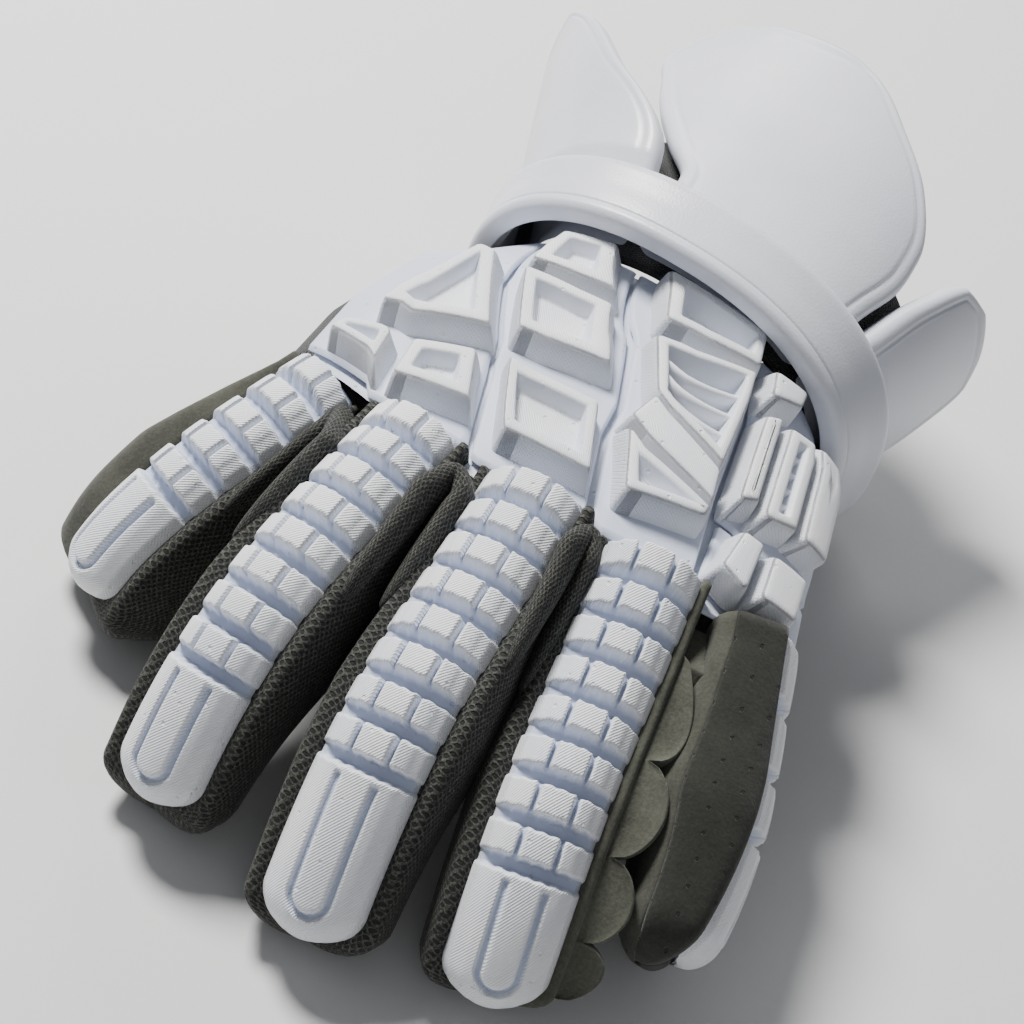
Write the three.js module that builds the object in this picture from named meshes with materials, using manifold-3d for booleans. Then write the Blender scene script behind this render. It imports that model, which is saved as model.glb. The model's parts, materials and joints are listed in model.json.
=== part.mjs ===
// Lacrosse glove, right hand, lying palm down: fingers toward -Y, thumb toward +X, back of the hand up.
// Lengths are millimetres. The form is built in a hand frame whose zero is at the middle knuckle,
// and the finished group is shifted so that its origin is at the centre of its resting face.

import * as THREE from 'three';
import { mergeVertices } from 'three/addons/utils/BufferGeometryUtils.js';
import Module from 'manifold-3d';

const wasm = await Module();
wasm.setup();

// Driving dimensions

const clearance = 0.3;          // gap between neighbouring pieces

const handWidth = 138;          // across the back, below the knuckles
const handDepth = 52;           // from the plate sheets down to the palm
const backLength = 96;          // from the middle knuckle to the wrist band
const sheetThickness = 2.5;     // base sheet of the back plates
const plateHeight = 10.5;       // from the underside of a sheet to the rim of a tray
const trayFloor = 5.5;          // from the underside of a sheet to the floor of a tray
const frameWidth = 3.2;         // flat rim round a tray
const wallSlope = 2.4;          // how far a tray's wall spreads from its rim to its sheet
const handWall = 2.4;           // cloth of the liner and suede of the palm
const mouthGap = 0.6;           // between the mouths of the fingers and the edge of the hand
const mouthReach = 5;           // how far round a spot the mouths are kept clear of
const mouthShare = 0.86;        // share of a mouth's width that sets the edge of the hand
const linerGap = 2.15;          // between the plates and the liner
const linerBack = 0.015;        // how far the liner and palm start behind that edge, as a share

const rowPitch = 11.35;         // from one row of finger blocks to the next
const thumbPitch = 16.6;        // from one row of thumb blocks to the next
const rowGroove = 3.6;          // width of the groove between two rows
const rowGrooveDepth = 5.2;
const notchWidth = 1.6;         // notches that split a row into three blocks
const notchDepth = 3.4;
const guardThickness = 13;      // from the ridge to the underside of a guard
const capGroove = 1.7;          // width of the U-shaped groove in a cap
const capGrooveDepth = 1.5;
const capTongue = 4;            // half the width of the tongue inside the U
const capRound = 11;            // length of a cap's rounded end

const fingerDepth = 41;         // from a guard's ridge to the underside of its finger
const thumbDepth = 31;
const stallWall = 2.2;          // knitted mesh and suede round a finger
const stallSide = 5;            // how far a finger's mesh stands out beside its guard
const stallShoulder = 8.5;      // from the ridge down to the mesh beside a guard
const rootStand = 0.2;          // how far that mesh stands out at the mouth, as a share of stallSide
const stallRound = 11;          // length of a finger's rounded end
const stallPast = 3.5;          // how far a finger reaches past the end of its guard
const mouthBack = 6;            // from the first row back to the mouth of a finger
const rootRun = 24;             // from the mouth to where a finger's sections are square to it
const stallStep = 15;           // longest run between two sections of a finger's skin
const stallGap = 0.7;          // between a guard and the skin under and beside it
const sidePadThickness = 2.6;   // suede pad on the index finger, in its seams
const sidePadBulge = 5;         // how much higher the pad stands in the middle of a lobe

const wristWidth = 129;         // across the outside of the wrist band
const wristHeight = 99.5;        // from the top of the band to the surface under it
const wristHalf = 51;           // from the middle of the band up to its top
const wristStand = 7;           // from the end of the back to the middle of the band
const wristBack = backLength + wristStand;  // from the middle knuckle to the middle of the band
const wristTurn = -12;          // how far the band is turned toward the thumb, in degrees
const wristLean = -5.5;         // how far the top of the band leans forward, in degrees
const wristFlare = 0.15;        // how much the cuff widens for each millimetre behind the band's front
const bandWidth = 22;
const bandThickness = 7;
const flapThickness = 8;
const cuffGap = 0.9;            // between the layers of the cuff, which are faceted apart
const flapEdge = 2.2;           // how much thinner each face of a flap is at its edge
const flapUnder = 3;            // how far the flaps reach forward of the band's middle
const cuffLength = 108;         // from the middle of the band to the end of the longest flap
const linerLength = 50;         // how far the cuff's lining reaches behind the band
const linerWall = 2;

// Share tables. A station along the back runs from 0 at the knuckles to 1 at the wrist.
// centre, ulnar and radial are shares of handWidth, level, rise and drop of handDepth.

const handSections = [
  { station: 0.00, centre: 0.094, ulnar: 0.565, radial: 0.620, level: -0.808, rise: 0.558, drop: 0.20 },
  { station: 0.33, centre: 0.109, ulnar: 0.565, radial: 0.570, level: -0.808, rise: 0.596, drop: 0.32 },
  { station: 0.66, centre: 0.145, ulnar: 0.540, radial: 0.510, level: -0.808, rise: 0.635, drop: 0.44 },
  { station: 1.00, centre: 0.196, ulnar: 0.358, radial: 0.368, level: -0.808, rise: 0.673, drop: 0.50 },
];
const handPower = 2.4;

// One row for each finger. x is a share of handWidth, y of backLength and z of handDepth, at the
// middle of the first row of blocks. Angles are degrees: yaw at the knuckle, bend is the yaw gained
// at the tip, pitches at 0, 0.35, 0.7 and 1 of the length, roll about the finger's own line.
// cap is the run from the last row to the tip, in shares of capRun. radial is how far the mesh stands
// out on the thumb's side and ulnar on the other side, in shares of stallSide, tip and root are the
// depth at the tip and at the mouth, in shares of depth, past is a share of stallPast and thick of
// guardThickness.

const capRun = 43;
const bendStart = 0.35;         // share of a finger's length where its sideways bend begins
const fingers = [
  {
    name: 'index', rows: 8, pitch: rowPitch, width: 27, depth: fingerDepth, cap: 1.04,
    x: 0.406, y: -0.093, z: -0.123, yaw: 2.4, bend: 10, pitches: [28, 18, 39, 73],
    roll: 1.5, radial: 0.24, ulnar: 1, thick: 1, tip: 0.6, past: 1, root: 1,
  },
  {
    name: 'middle', rows: 8, pitch: rowPitch, width: 27.5, depth: fingerDepth, cap: 1.22,
    x: 0.141, y: -0.061, z: -0.054, yaw: -4.6, bend: 11, pitches: [18, 17.5, 43.5, 59],
    roll: -7.8, radial: 1, ulnar: 1, thick: 1, tip: 0.6, past: 1, root: 1,
  },
  {
    name: 'ring', rows: 8, pitch: rowPitch, width: 26, depth: fingerDepth, cap: 1.06,
    x: -0.122, y: 0.012, z: -0.09, yaw: -12.6, bend: 8.5, pitches: [10.5, 21, 44, 68],
    roll: -9.6, radial: 1, ulnar: 1, thick: 1, tip: 0.62, past: 2, root: 1,
  },
  {
    name: 'pinky', rows: 5, pitch: rowPitch, width: 24.5, depth: fingerDepth, cap: 1.04,
    x: -0.353, y: 0.184, z: -0.362, yaw: -29, bend: -6.5, pitches: [17.5, 23.5, 42, 72],
    roll: -7, radial: 1, ulnar: 2.8, thick: 1, tip: 0.9, past: 2.6, root: 1,
  },
  {
    name: 'thumb', rows: 3, pitch: thumbPitch, width: 27, depth: thumbDepth, cap: 1.02,
    x: 0.722, y: -0.05, z: -0.688, yaw: 14.4, bend: -22, pitches: [27.6, 23, 23.5, 27.5],
    roll: 97, radial: 0.8, ulnar: 1, thick: 0.68, tip: 0.75, past: 1, root: 0.79,
  },
];

// Corners of each tray and block on the back, as shares: u runs from -1 at the ulnar side of the
// arch over 0 at its top to 1 at the radial side, v from the knuckles to the wrist.

const backPlates = [
  {
    name: 'back_plate_ulnar',
    sheet: [
      { v: 0.01, from: -0.62, to: -0.076 }, { v: 0.3, from: -0.62, to: -0.136 },
      { v: 0.43, from: -0.61, to: -0.172 }, { v: 0.69, from: -0.60, to: -0.296 },
      { v: 0.96, from: -0.62, to: -0.476 },
    ],
    trays: [
      { corners: [[-0.43, 0.258], [-0.37, 0.68], [-0.318, 0.67], [-0.179, 0.378]], frame: 1 },
      { corners: [[-0.506, 0.05], [-0.482, 0.11], [-0.352, 0.166], [-0.341, 0.05]], frame: 0.7 },
      { corners: [[-0.278, 0.05], [-0.287, 0.193], [-0.161, 0.261], [-0.115, 0.093]], frame: 1 },
    ],
  },
  {
    name: 'back_plate_centre',
    sheet: [
      { v: 0, from: -0.064, to: 0.124 }, { v: 0.3, from: -0.124, to: 0.076 },
      { v: 0.43, from: -0.160, to: 0.066 }, { v: 0.69, from: -0.284, to: 0.004 },
      { v: 0.96, from: -0.464, to: -0.106 },
    ],
    trays: [
      { corners: [[-0.245, 0.715], [-0.315, 0.90], [-0.165, 0.93], [-0.060, 0.755]], frame: 1 },
      { corners: [[-0.128, 0.427], [-0.221, 0.660], [-0.032, 0.685], [0.020, 0.478]], frame: 1 },
      { corners: [[-0.034, 0.076], [-0.096, 0.302], [0.048, 0.318], [0.094, 0.083]], frame: 1 },
    ],
  },
  {
    name: 'back_plate_radial',
    sheet: [
      { v: 0.01, from: 0.136, to: 0.375 }, { v: 0.3, from: 0.088, to: 0.360 },
      { v: 0.43, from: 0.078, to: 0.350 }, { v: 0.69, from: 0.016, to: 0.330 },
      { v: 0.96, from: -0.094, to: 0.312 },
    ],
    trays: [
      { corners: [[0.046, 0.755], [-0.010, 0.94], [0.284, 0.94], [0.298, 0.812]], frame: 0.8, deep: 1 },
      { corners: [[0.121, 0.480], [0.054, 0.670], [0.296, 0.770], [0.320, 0.385]], frame: 0.7, deep: 1,
        slats: 3 },
      { corners: [[0.110, 0.345], [0.125, 0.455], [0.325, 0.345], [0.335, 0.235]], solid: 1 },
      { corners: [[0.166, 0.115], [0.120, 0.290], [0.335, 0.200], [0.330, 0.165]], frame: 0.8 },
    ],
  },
  {
    name: 'back_plate_side',
    sheet: [
      { v: 0.27, from: 0.374, to: 0.84 }, { v: 0.43, from: 0.362, to: 0.86 },
      { v: 0.69, from: 0.342, to: 0.84 }, { v: 0.94, from: 0.325, to: 0.74 },
    ],
    trays: [
      { corners: [[0.366, 0.745], [0.358, 0.84], [0.485, 0.87], [0.470, 0.80]], solid: 1 },
      { corners: [[0.400, 0.31], [0.368, 0.65], [0.410, 0.68], [0.442, 0.34]], solid: 1 },
      { corners: [[0.480, 0.33], [0.450, 0.68], [0.550, 0.72], [0.580, 0.37]], frame: 0.8, slats: 4 },
      { corners: [[0.625, 0.37], [0.590, 0.74], [0.700, 0.76], [0.730, 0.38]], solid: 1 },
    ],
  },
  {
    name: 'thumb_base_plate',
    sheet: [{ v: 0.03, from: 0.387, to: 0.82 }, { v: 0.25, from: 0.387, to: 0.84 }],
    trays: [
      { corners: [[0.415, 0.045], [0.440, 0.205], [0.500, 0.225], [0.490, 0.045]], solid: 1 },
      { corners: [[0.540, 0.045], [0.545, 0.215], [0.670, 0.220], [0.660, 0.045]], solid: 1 },
    ],
  },
];

// Cuff flaps. Angles are degrees round the cuff from its top, one row for each share of the length:
// from and to are the two edges. crown gives the share of the full length at even steps across.

const flaps = [
  { name: 'dorsal_flap', length: 1, lift: 0, flare: 0.15,
    edges: [{ t: 0, from: -14, to: 46 }, { t: 0.24, from: -17, to: 47 }, { t: 0.36, from: -28, to: 48 },
      { t: 0.52, from: -41, to: 44 }, { t: 0.68, from: -50, to: 31 }, { t: 0.81, from: -57, to: 16 },
      { t: 0.92, from: -58, to: 5 }, { t: 1, from: -54, to: -6 }],
    crown: [0.82, 0.88, 0.93, 0.96, 0.98, 1, 1, 1, 0.99] },
  { name: 'ulnar_flap', length: 0.87, lift: 3, flare: 0.48,
    edges: [{ t: 0, from: -106, to: -18 }, { t: 0.27, from: -106, to: -21 }, { t: 0.59, from: -104, to: -45 },
      { t: 0.83, from: -100, to: -60 }, { t: 0.92, from: -97, to: -67 }, { t: 1, from: -92, to: -74 }],
    crown: [0.80, 0.92, 0.98, 1, 1, 1, 1, 1, 0.98] },
  { name: 'radial_flap', length: 0.667, lift: 1.5, flare: 0.2,
    edges: [{ t: 0, from: 50, to: 110 }, { t: 0.5, from: 51, to: 106 }, { t: 0.68, from: 53, to: 102 },
      { t: 0.89, from: 57, to: 96 }, { t: 1, from: 66, to: 86 }],
    crown: [0.9, 0.96, 1, 1, 1, 1, 1, 0.99, 0.96] },
];

// Colours and finishes

const finishes = {
  white: { color: 0xe3e6ee, roughness: 0.55, metalness: 0 },
  satin: { color: 0xdcdfe8, roughness: 0.38, metalness: 0 },
  mesh: { color: 0x4a4c45, roughness: 0.95, metalness: 0 },
  suede: { color: 0x5d6054, roughness: 0.98, metalness: 0 },
  cloth: { color: 0x2c2d2a, roughness: 0.95, metalness: 0 },
};

// Small helpers

const radians = THREE.MathUtils.degToRad;

// A share kept between 0 and 1
function held(share) {
  return Math.min(Math.max(share, 0), 1);
}

function lookUp(rows, key, at, column) {
  const last = rows.length - 1;
  let i = 0;
  while (i < last - 1 && at > rows[i + 1][key]) i += 1;
  const share = (at - rows[i][key]) / (rows[i + 1][key] - rows[i][key]);
  return THREE.MathUtils.lerp(rows[i][column], rows[i + 1][column], held(share));
}

// A value from a list at even steps, read with straight lines between them
function evenSteps(list, share) {
  const at = held(share) * (list.length - 1);
  const i = Math.min(Math.floor(at), list.length - 2);
  return THREE.MathUtils.lerp(list[i], list[i + 1], at - i);
}

// Sine or cosine reshaped to a fuller curve than a circle's
function full(value, power) {
  return Math.sign(value) * Math.abs(value) ** (2 / power);
}

function signedVolume(points, faces) {
  let sum = 0;
  for (let i = 0; i < faces.length; i += 3) {
    const [a, b, c] = [points[faces[i]], points[faces[i + 1]], points[faces[i + 2]]];
    sum += a.dot(new THREE.Vector3().crossVectors(b, c));
  }
  return sum / 6;
}

function closedGeometry(points, faces) {
  if (signedVolume(points, faces) < 0) faces.reverse();
  const geometry = new THREE.BufferGeometry();
  geometry.setAttribute('position', new THREE.Float32BufferAttribute(points.flatMap((p) => p.toArray()), 3));
  geometry.setIndex(faces);
  return geometry;
}

// A skin over rings of points, all with the same count. The ends are capped with the triangles of
// outline, a list of flat points in ring order, or the last ring joins the first one if looped.
// From the point number innerFrom on, the quads are cut along their other diagonal, so that a thin
// wall's inner face runs beside its outer one. Without an outline the rings are two rows, one going
// out and one coming back, and the caps are the strips between them.
function loft(rings, outline, { looped = false, innerFrom = Infinity } = {}) {
  const count = rings[0].length;
  const points = rings.flat();
  const faces = [];
  const bands = looped ? rings.length : rings.length - 1;
  for (let i = 0; i < bands; i += 1) {
    const near = i * count;
    const far = ((i + 1) % rings.length) * count;
    for (let j = 0; j < count; j += 1) {
      const k = (j + 1) % count;
      if (j < innerFrom) faces.push(near + j, near + k, far + k, near + j, far + k, far + j);
      else faces.push(near + j, near + k, far + j, near + k, far + k, far + j);
    }
  }
  if (!looped) {
    const end = (rings.length - 1) * count;
    const caps = outline ? THREE.ShapeUtils.triangulateShape(outline, []) : stripCaps(count);
    for (const [a, b, c] of caps) {
      faces.push(a, c, b, end + a, end + b, end + c);
    }
    if (outline && THREE.ShapeUtils.area(outline) < 0) orientCaps(faces, bands * count * 6);
  }
  return closedGeometry(points, faces);
}

// Triangles between two rows of points, the second one numbered on from the end of the first
function stripCaps(count) {
  const caps = [];
  for (let j = 0; j < count / 2 - 1; j += 1) {
    const across = count - 1 - j;
    caps.push([j, j + 1, across], [j + 1, across - 1, across]);
  }
  return caps;
}

// Caps follow the outline's own turning sense: this turns them over where it runs clockwise
function orientCaps(faces, start) {
  for (let i = start; i < faces.length; i += 3) {
    [faces[i], faces[i + 1]] = [faces[i + 1], faces[i]];
  }
}

function toSolid(geometry) {
  const bare = geometry.clone();
  bare.deleteAttribute('normal');
  bare.deleteAttribute('uv');
  const merged = mergeVertices(bare, 1e-4);
  return new wasm.Manifold(new wasm.Mesh({
    numProp: 3,
    vertProperties: new Float32Array(merged.attributes.position.array),
    triVerts: new Uint32Array(merged.index.array),
  }));
}

function toGeometry(solid) {
  const mesh = solid.getMesh();
  const geometry = new THREE.BufferGeometry();
  geometry.setAttribute('position', new THREE.Float32BufferAttribute(mesh.vertProperties, 3));
  geometry.setIndex([...mesh.triVerts]);
  return geometry;
}

const glove = new THREE.Group();

function addPiece(name, geometry, finish) {
  const mesh = new THREE.Mesh(geometry, new THREE.MeshStandardMaterial(finishes[finish]));
  mesh.name = name;
  glove.add(mesh);
  return mesh;
}

// Finger lines

// The ridge of a finger as points and directions one millimetre apart
function fingerLine(finger) {
  const run = finger.rows > 1 ? (finger.rows - 1) * finger.pitch : 0;
  const length = run + finger.cap * capRun;
  const start = new THREE.Vector3(finger.x * handWidth, finger.y * backLength, finger.z * handDepth);
  const stations = [0, bendStart, bendStart * 2, 1];
  const turns = stations.map((at, i) => ({ at, pitch: finger.pitches[i] }));
  const pitchAt = (s) => radians(lookUp(turns, 'at', s / length, 'pitch'));
  const bent = (s) => held((s / length - bendStart) / (1 - bendStart));
  const yawAt = (s) => radians(finger.yaw + finger.bend * bent(s));
  const ahead = (s) => {
    const [yaw, pitch] = [yawAt(s), pitchAt(s)];
    return new THREE.Vector3(
      Math.sin(yaw) * Math.cos(pitch), -Math.cos(yaw) * Math.cos(pitch), -Math.sin(pitch));
  };
  const pointAt = (s) => {
    const steps = Math.max(1, Math.ceil(Math.abs(s)));
    const step = s / steps;
    const point = start.clone();
    for (let i = 0; i < steps; i += 1) point.addScaledVector(ahead((i + 0.5) * step), step);
    return point;
  };
  // level is 1 where the section stands upright, and 0 where it is square to the ridge
  const frameAt = (s, level = 0) => {
    const yaw = yawAt(s);
    const across = new THREE.Vector3(Math.cos(yaw), Math.sin(yaw), 0);
    const forward = ahead(s);
    const upright = new THREE.Vector3(Math.sin(yaw), -Math.cos(yaw), 0);
    const along = forward.clone().lerp(upright, level).normalize();
    const up = new THREE.Vector3().crossVectors(across, along);
    if (up.z < 0) up.negate();
    const roll = radians(finger.roll);
    return {
      point: pointAt(s),
      along,
      side: across.clone().multiplyScalar(Math.cos(roll)).addScaledVector(up, -Math.sin(roll)),
      out: up.clone().multiplyScalar(Math.cos(roll)).addScaledVector(across, Math.sin(roll)),
    };
  };
  return { length, frameAt, lastRow: run };
}

// Sections stand upright at a finger's mouth and turn square to its ridge over this run
function rootLevel(s) {
  return 1 - held((s + mouthBack) / rootRun);
}

const lines = Object.fromEntries(fingers.map((finger) => [finger.name, fingerLine(finger)]));

// A section's flat points (across, outward) set into a frame
function place(frame, section) {
  return section.map(([b, n]) => (
    frame.point.clone().addScaledVector(frame.side, b).addScaledVector(frame.out, n)));
}

// Guards

// One section of a guard. high is 1 on a block and 0 in the groove between two rows, notch is the
// depth of the two lengthwise notches, tongue is half the width of what stands between them,
// narrow and sink shrink the section toward the rounded tip.
function guardSection(width, thickness, { high, notch, tongue, groove, narrow = 1, sink = 0 }) {
  const half = (width / 2) * narrow;
  const top = (blockLevel, grooveLevel) => THREE.MathUtils.lerp(grooveLevel, blockLevel, high) - sink;
  const floor = -rowGrooveDepth;
  const under = -thickness + sink * 0.15;
  const inner = Math.min(tongue, half * 0.5);
  const outer = Math.min(inner + groove, half * 0.6);
  const side = [
    [half * 0.97, under],
    [half, Math.max(top(-8.6, -9.6), under + 0.4)],
    [half * 0.87, Math.max(top(-5, -7.6), under + 0.8)],
    [outer, top(-0.8, floor - 0.6)],
    [(inner + outer) / 2, top(-0.8 - notch, floor - 0.7)],
    [inner, top(-0.1, floor)],
  ];
  const mirrored = side.map(([b, n]) => [-b, n]);
  return [...side, ...mirrored.reverse()];
}

const tipReach = 0.985;         // how far round a guard's tip its last section lies
const tipBlunt = 0.12;          // least width left at a tip, as a share
const tipSink = 8;              // how far a guard's ridge comes down at its tip

// How much a guard narrows and sinks near its rounded tip
function tipShape(s, length) {
  const t = held((s - (length - capRound)) / capRound) * tipReach;
  const round = Math.sqrt(1 - t * t);
  return { narrow: THREE.MathUtils.lerp(tipBlunt, 1, round), sink: (1 - round) * tipSink };
}

function guard(finger) {
  const { length, frameAt, lastRow } = lines[finger.name];
  const rings = [];
  let outline = null;
  const add = (s, options) => {
    const section = guardSection(finger.width, guardThickness * finger.thick, options);
    outline ??= section.map(([b, n]) => new THREE.Vector2(b, n));
    rings.push(place(frameAt(s, rootLevel(s)), section));
  };
  const block = { high: 1, notch: notchDepth, tongue: finger.width * 0.15, groove: notchWidth };
  const low = { ...block, high: 0 };
  const halfBlock = (finger.pitch - rowGroove) / 2;
  const wall = 0.4;
  add(clearance - mouthBack, low);
  add(-halfBlock - wall, low);
  for (let row = 0; row < finger.rows; row += 1) {
    const s = row * finger.pitch;
    if (row > 0) add(s - halfBlock - wall, low);
    add(s - halfBlock, block);
    add(s + halfBlock, block);
    add(s + halfBlock + wall, low);
  }
  const cap = { high: 1, notch: capGrooveDepth, tongue: capTongue, groove: capGroove };
  const capStart = lastRow + halfBlock + rowGroove;
  const grooveEnd = length - capRound * 0.65;
  const roundStart = grooveEnd - capTongue - capGroove;
  add(capStart - wall, { ...cap, high: 0 });
  add(capStart, cap);
  const bends = Math.ceil((roundStart - capStart) / 14);
  for (let i = 1; i <= bends; i += 1) {
    const s = THREE.MathUtils.lerp(capStart, roundStart, i / bends);
    add(s, { ...cap, ...tipShape(s, length) });
  }
  for (const turn of [45, 80]) {
    const [along, across] = [capTongue * Math.sin(radians(turn)), capTongue * Math.cos(radians(turn))];
    const outer = Math.sqrt((capTongue + capGroove) ** 2 - along ** 2);
    const s = roundStart + along;
    add(s, { ...cap, tongue: across, groove: outer - across, ...tipShape(s, length) });
  }
  for (const share of [0.3, 0.7, 1]) {
    const s = THREE.MathUtils.lerp(grooveEnd, length, share);
    add(s, { ...cap, notch: 0.05, tongue: 1, groove: 2, ...tipShape(s, length) });
  }
  return loft(rings, outline);
}

for (const finger of fingers) addPiece(`${finger.name}_guard`, guard(finger), 'white');

// Finger stalls: a mesh or suede shell round the back and sides, and a strip under the finger

const seamDrop = 0.86;          // where the strip starts, as a share of the finger's depth

const stallReach = 0.975;       // how far round a finger's end its last section lies
const tipFrom = 0.5;            // share of a finger's length where it starts to slim
const rootFull = 30;            // from the first row to where a finger has its full depth

// How far a finger's skin has drawn in toward its rounded end
function stallEnd(s, length, past) {
  const end = length + past;
  const t = held((s - (end - stallRound)) / stallRound) * stallReach;
  return Math.sqrt(1 - t * t);
}

// Half of a finger's section as flat points (across, outward), from under the guard round its side
// to the underside. side is 1 toward the thumb and -1 away from it.
function stallHalf(finger, s, side) {
  const { length } = lines[finger.name];
  const round = stallEnd(s, length, stallPast * finger.past);
  const slim = THREE.MathUtils.lerp(1, finger.tip, held((s / length - tipFrom) / (1 - tipFrom)));
  const depth = finger.depth * THREE.MathUtils.lerp(finger.root, 1, held(s / rootFull)) * slim;
  const spread = THREE.MathUtils.lerp(rootStand, 1, held(s / length / tipFrom));
  const stand = stallSide * (side > 0 ? finger.radial : finger.ulnar) * spread * slim;
  const { narrow, sink } = tipShape(Math.min(s, length), length);
  const bed = s > length ? stallGap : (finger.width / 2) * narrow + stallGap;
  const body = (finger.width / 2 + stallGap) * round;
  const thickness = guardThickness * finger.thick;
  const middle = -(thickness + depth) / 2;
  const squeeze = (n) => middle + (n - middle) * round;
  const shoulder = Math.min(squeeze(-stallShoulder), s > length ? squeeze(-stallShoulder) : 0);
  const floor = Math.min(-thickness - stallGap + sink * 0.15, shoulder - 0.8);
  const point = (out, down) => [(body + stand * out * round), squeeze(down)];
  const outer = [
    [0, floor],
    [bed, floor],
    [bed, shoulder - 0.6],
    point(0.55, -stallShoulder),
    point(1, -Math.max(depth * 0.42, thickness + stallWall)),
    point(0.95, -depth * 0.68),
    point(0.45, -depth * seamDrop),
    [Math.max(body - finger.width * 0.14, 0.5), squeeze(-depth)],
    [0, squeeze(-depth)],
  ];
  return { outer: outer.map(([b, n]) => [b * side, n]), middle, floor };
}

// The skin's inner face, one wall in from the outer one, closing toward the fingertip
function stallInner(half, side, wall) {
  const inset = ([b, n], towardMiddle) => {
    const across = Math.max(Math.abs(b) - wall * 0.9, 0.15);
    const pull = Math.min(wall * towardMiddle, Math.abs(n - half.middle) * 0.98);
    return [across * side, n + Math.sign(half.middle - n) * pull];
  };
  const { outer, floor } = half;
  const roof = floor - Math.min(wall, Math.abs(floor - half.middle) * 0.9);
  return [
    [Math.max(Math.abs(outer[4][0]) - wall * 2, 0.1) * side, roof],
    inset(outer[4], 0),
    inset(outer[5], 0.2),
    inset(outer[6], 0.6),
    inset(outer[7], 1),
  ];
}

function stallStations(length, past) {
  const end = length + past;
  const bodyEnd = Math.min(end - stallRound, length - capRound * 0.6);
  const stations = [];
  const bends = Math.ceil((bodyEnd + mouthBack) / stallStep);
  for (let i = 0; i <= bends; i += 1) {
    stations.push(THREE.MathUtils.lerp(-mouthBack, bodyEnd, i / bends));
  }
  stations.push(length - capRound * 0.3, length - 0.6, length + 0.8);
  if (past > stallPast) stations.push(THREE.MathUtils.lerp(length, end, 0.6));
  stations.push(end);
  return stations;
}

function stallShell(finger, sectionOf, innerFrom) {
  const { length, frameAt } = lines[finger.name];
  const end = length + stallPast * finger.past;
  const rings = [];
  let outline = null;
  for (const s of stallStations(length, stallPast * finger.past)) {
    const closing = Math.max(stallWall, stallRound * 0.8 - (end - s));
    const left = stallHalf(finger, s, -1);
    const right = stallHalf(finger, s, 1);
    const section = sectionOf(left, right, stallInner(left, -1, closing), stallInner(right, 1, closing));
    outline ??= section.map(([b, n]) => new THREE.Vector2(b, n));
    rings.push(place(frameAt(s, rootLevel(s)), section));
  }
  return loft(rings, outline, { innerFrom });
}

function gussetSection(left, right, leftInner, rightInner) {
  return [
    ...left.outer.slice(1, 7).reverse(), ...right.outer.slice(1, 7),
    ...rightInner.slice(0, 4).reverse(), ...leftInner.slice(0, 4),
  ];
}

function palmSection(left, right, leftInner, rightInner) {
  const lower = ([b, n]) => [b, n - clearance];
  return [
    lower(left.outer[6]), left.outer[7], right.outer[7], lower(right.outer[6]),
    lower(rightInner[3]), rightInner[4], leftInner[4], lower(leftInner[3]),
  ];
}

for (const finger of fingers) {
  const finish = finger.name === 'thumb' ? 'suede' : 'mesh';
  addPiece(`${finger.name}_gusset`, stallShell(finger, gussetSection, 12), finish);
  addPiece(`${finger.name}_palm`, stallShell(finger, palmSection, 4), 'suede');
}

// Suede pad along the index finger's outer side, sewn down between its lobes

const sidePadLobes = [0.14, 0.37, 0.60, 0.80, 0.95];   // seams, as shares of the finger's length
const sidePadBelly = [0.7, 1, 0.5, 0.3];               // how full the pad is, from its top edge down
const padRoot = 0.3;            // fullness of the pad at its root, as a share
const padFull = 0.4;            // share of the finger's length where it is full

function sidePad(grow = 0) {
  const finger = fingers.find(({ name }) => name === 'index');
  const { length, frameAt } = lines.index;
  const rings = [];
  let outline = null;
  const perLobe = 3;
  for (let lobe = 0; lobe < sidePadLobes.length - 1; lobe += 1) {
    const first = lobe === 0 ? 0 : 1;
    for (let i = first; i <= perLobe; i += 1) {
      const share = THREE.MathUtils.lerp(sidePadLobes[lobe], sidePadLobes[lobe + 1], i / perLobe);
      const bulge = sidePadBulge * Math.sin(Math.PI * (i / perLobe)) ** 0.7;
      const s = share * length;
      const fill = THREE.MathUtils.lerp(padRoot, 1, held((share - padFull / 2) * 4));
      const skin = stallHalf(finger, s, 1).outer.slice(3, 7).map(([b, n]) => [b + clearance * 2, n]);
      skin[0][0] += 0.6;
      const thick = skin.map(([b, n], k) => {
        return [b + (sidePadThickness + bulge) * sidePadBelly[k] * fill + grow, n];
      });
      const section = [...skin, ...thick.reverse()];
      outline ??= section.map(([b, n]) => new THREE.Vector2(b, n));
      rings.push(place(frameAt(s, rootLevel(s)), section));
    }
  }
  return loft(rings, outline);
}

addPiece('index_side_pad', sidePad(), 'suede');

// The hand's own surface, on which the plates lie

// Where the hand meets the mouths of the fingers, as a line of x and y over the hand's width
const frontLine = fingers.flatMap((finger) => {
  const frame = lines[finger.name].frameAt(-mouthBack, 1);
  const flat = (across) => frame.point.clone().addScaledVector(frame.side, across);
  if (finger.name === 'thumb') {
    const inward = (depth) => frame.point.clone().addScaledVector(frame.out, -depth);
    return [inward(finger.depth * finger.root), inward(0)];
  }
  const half = (finger.width / 2 + stallSide) * mouthShare;
  return [flat(-half), flat(half * (0.75 + 0.25 * finger.radial))];
}).sort((a, b) => a.x - b.x).map(({ x, y }) => ({ x, y: y + mouthGap }));

const wristCentre = new THREE.Vector3(handWidth * 0.203, wristBack, handDepth * -0.73);
const turned = Math.tan(radians(wristTurn));
const leaned = Math.tan(radians(wristLean));
const backTop = handDepth * -0.135;    // level of the back at the wrist

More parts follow.
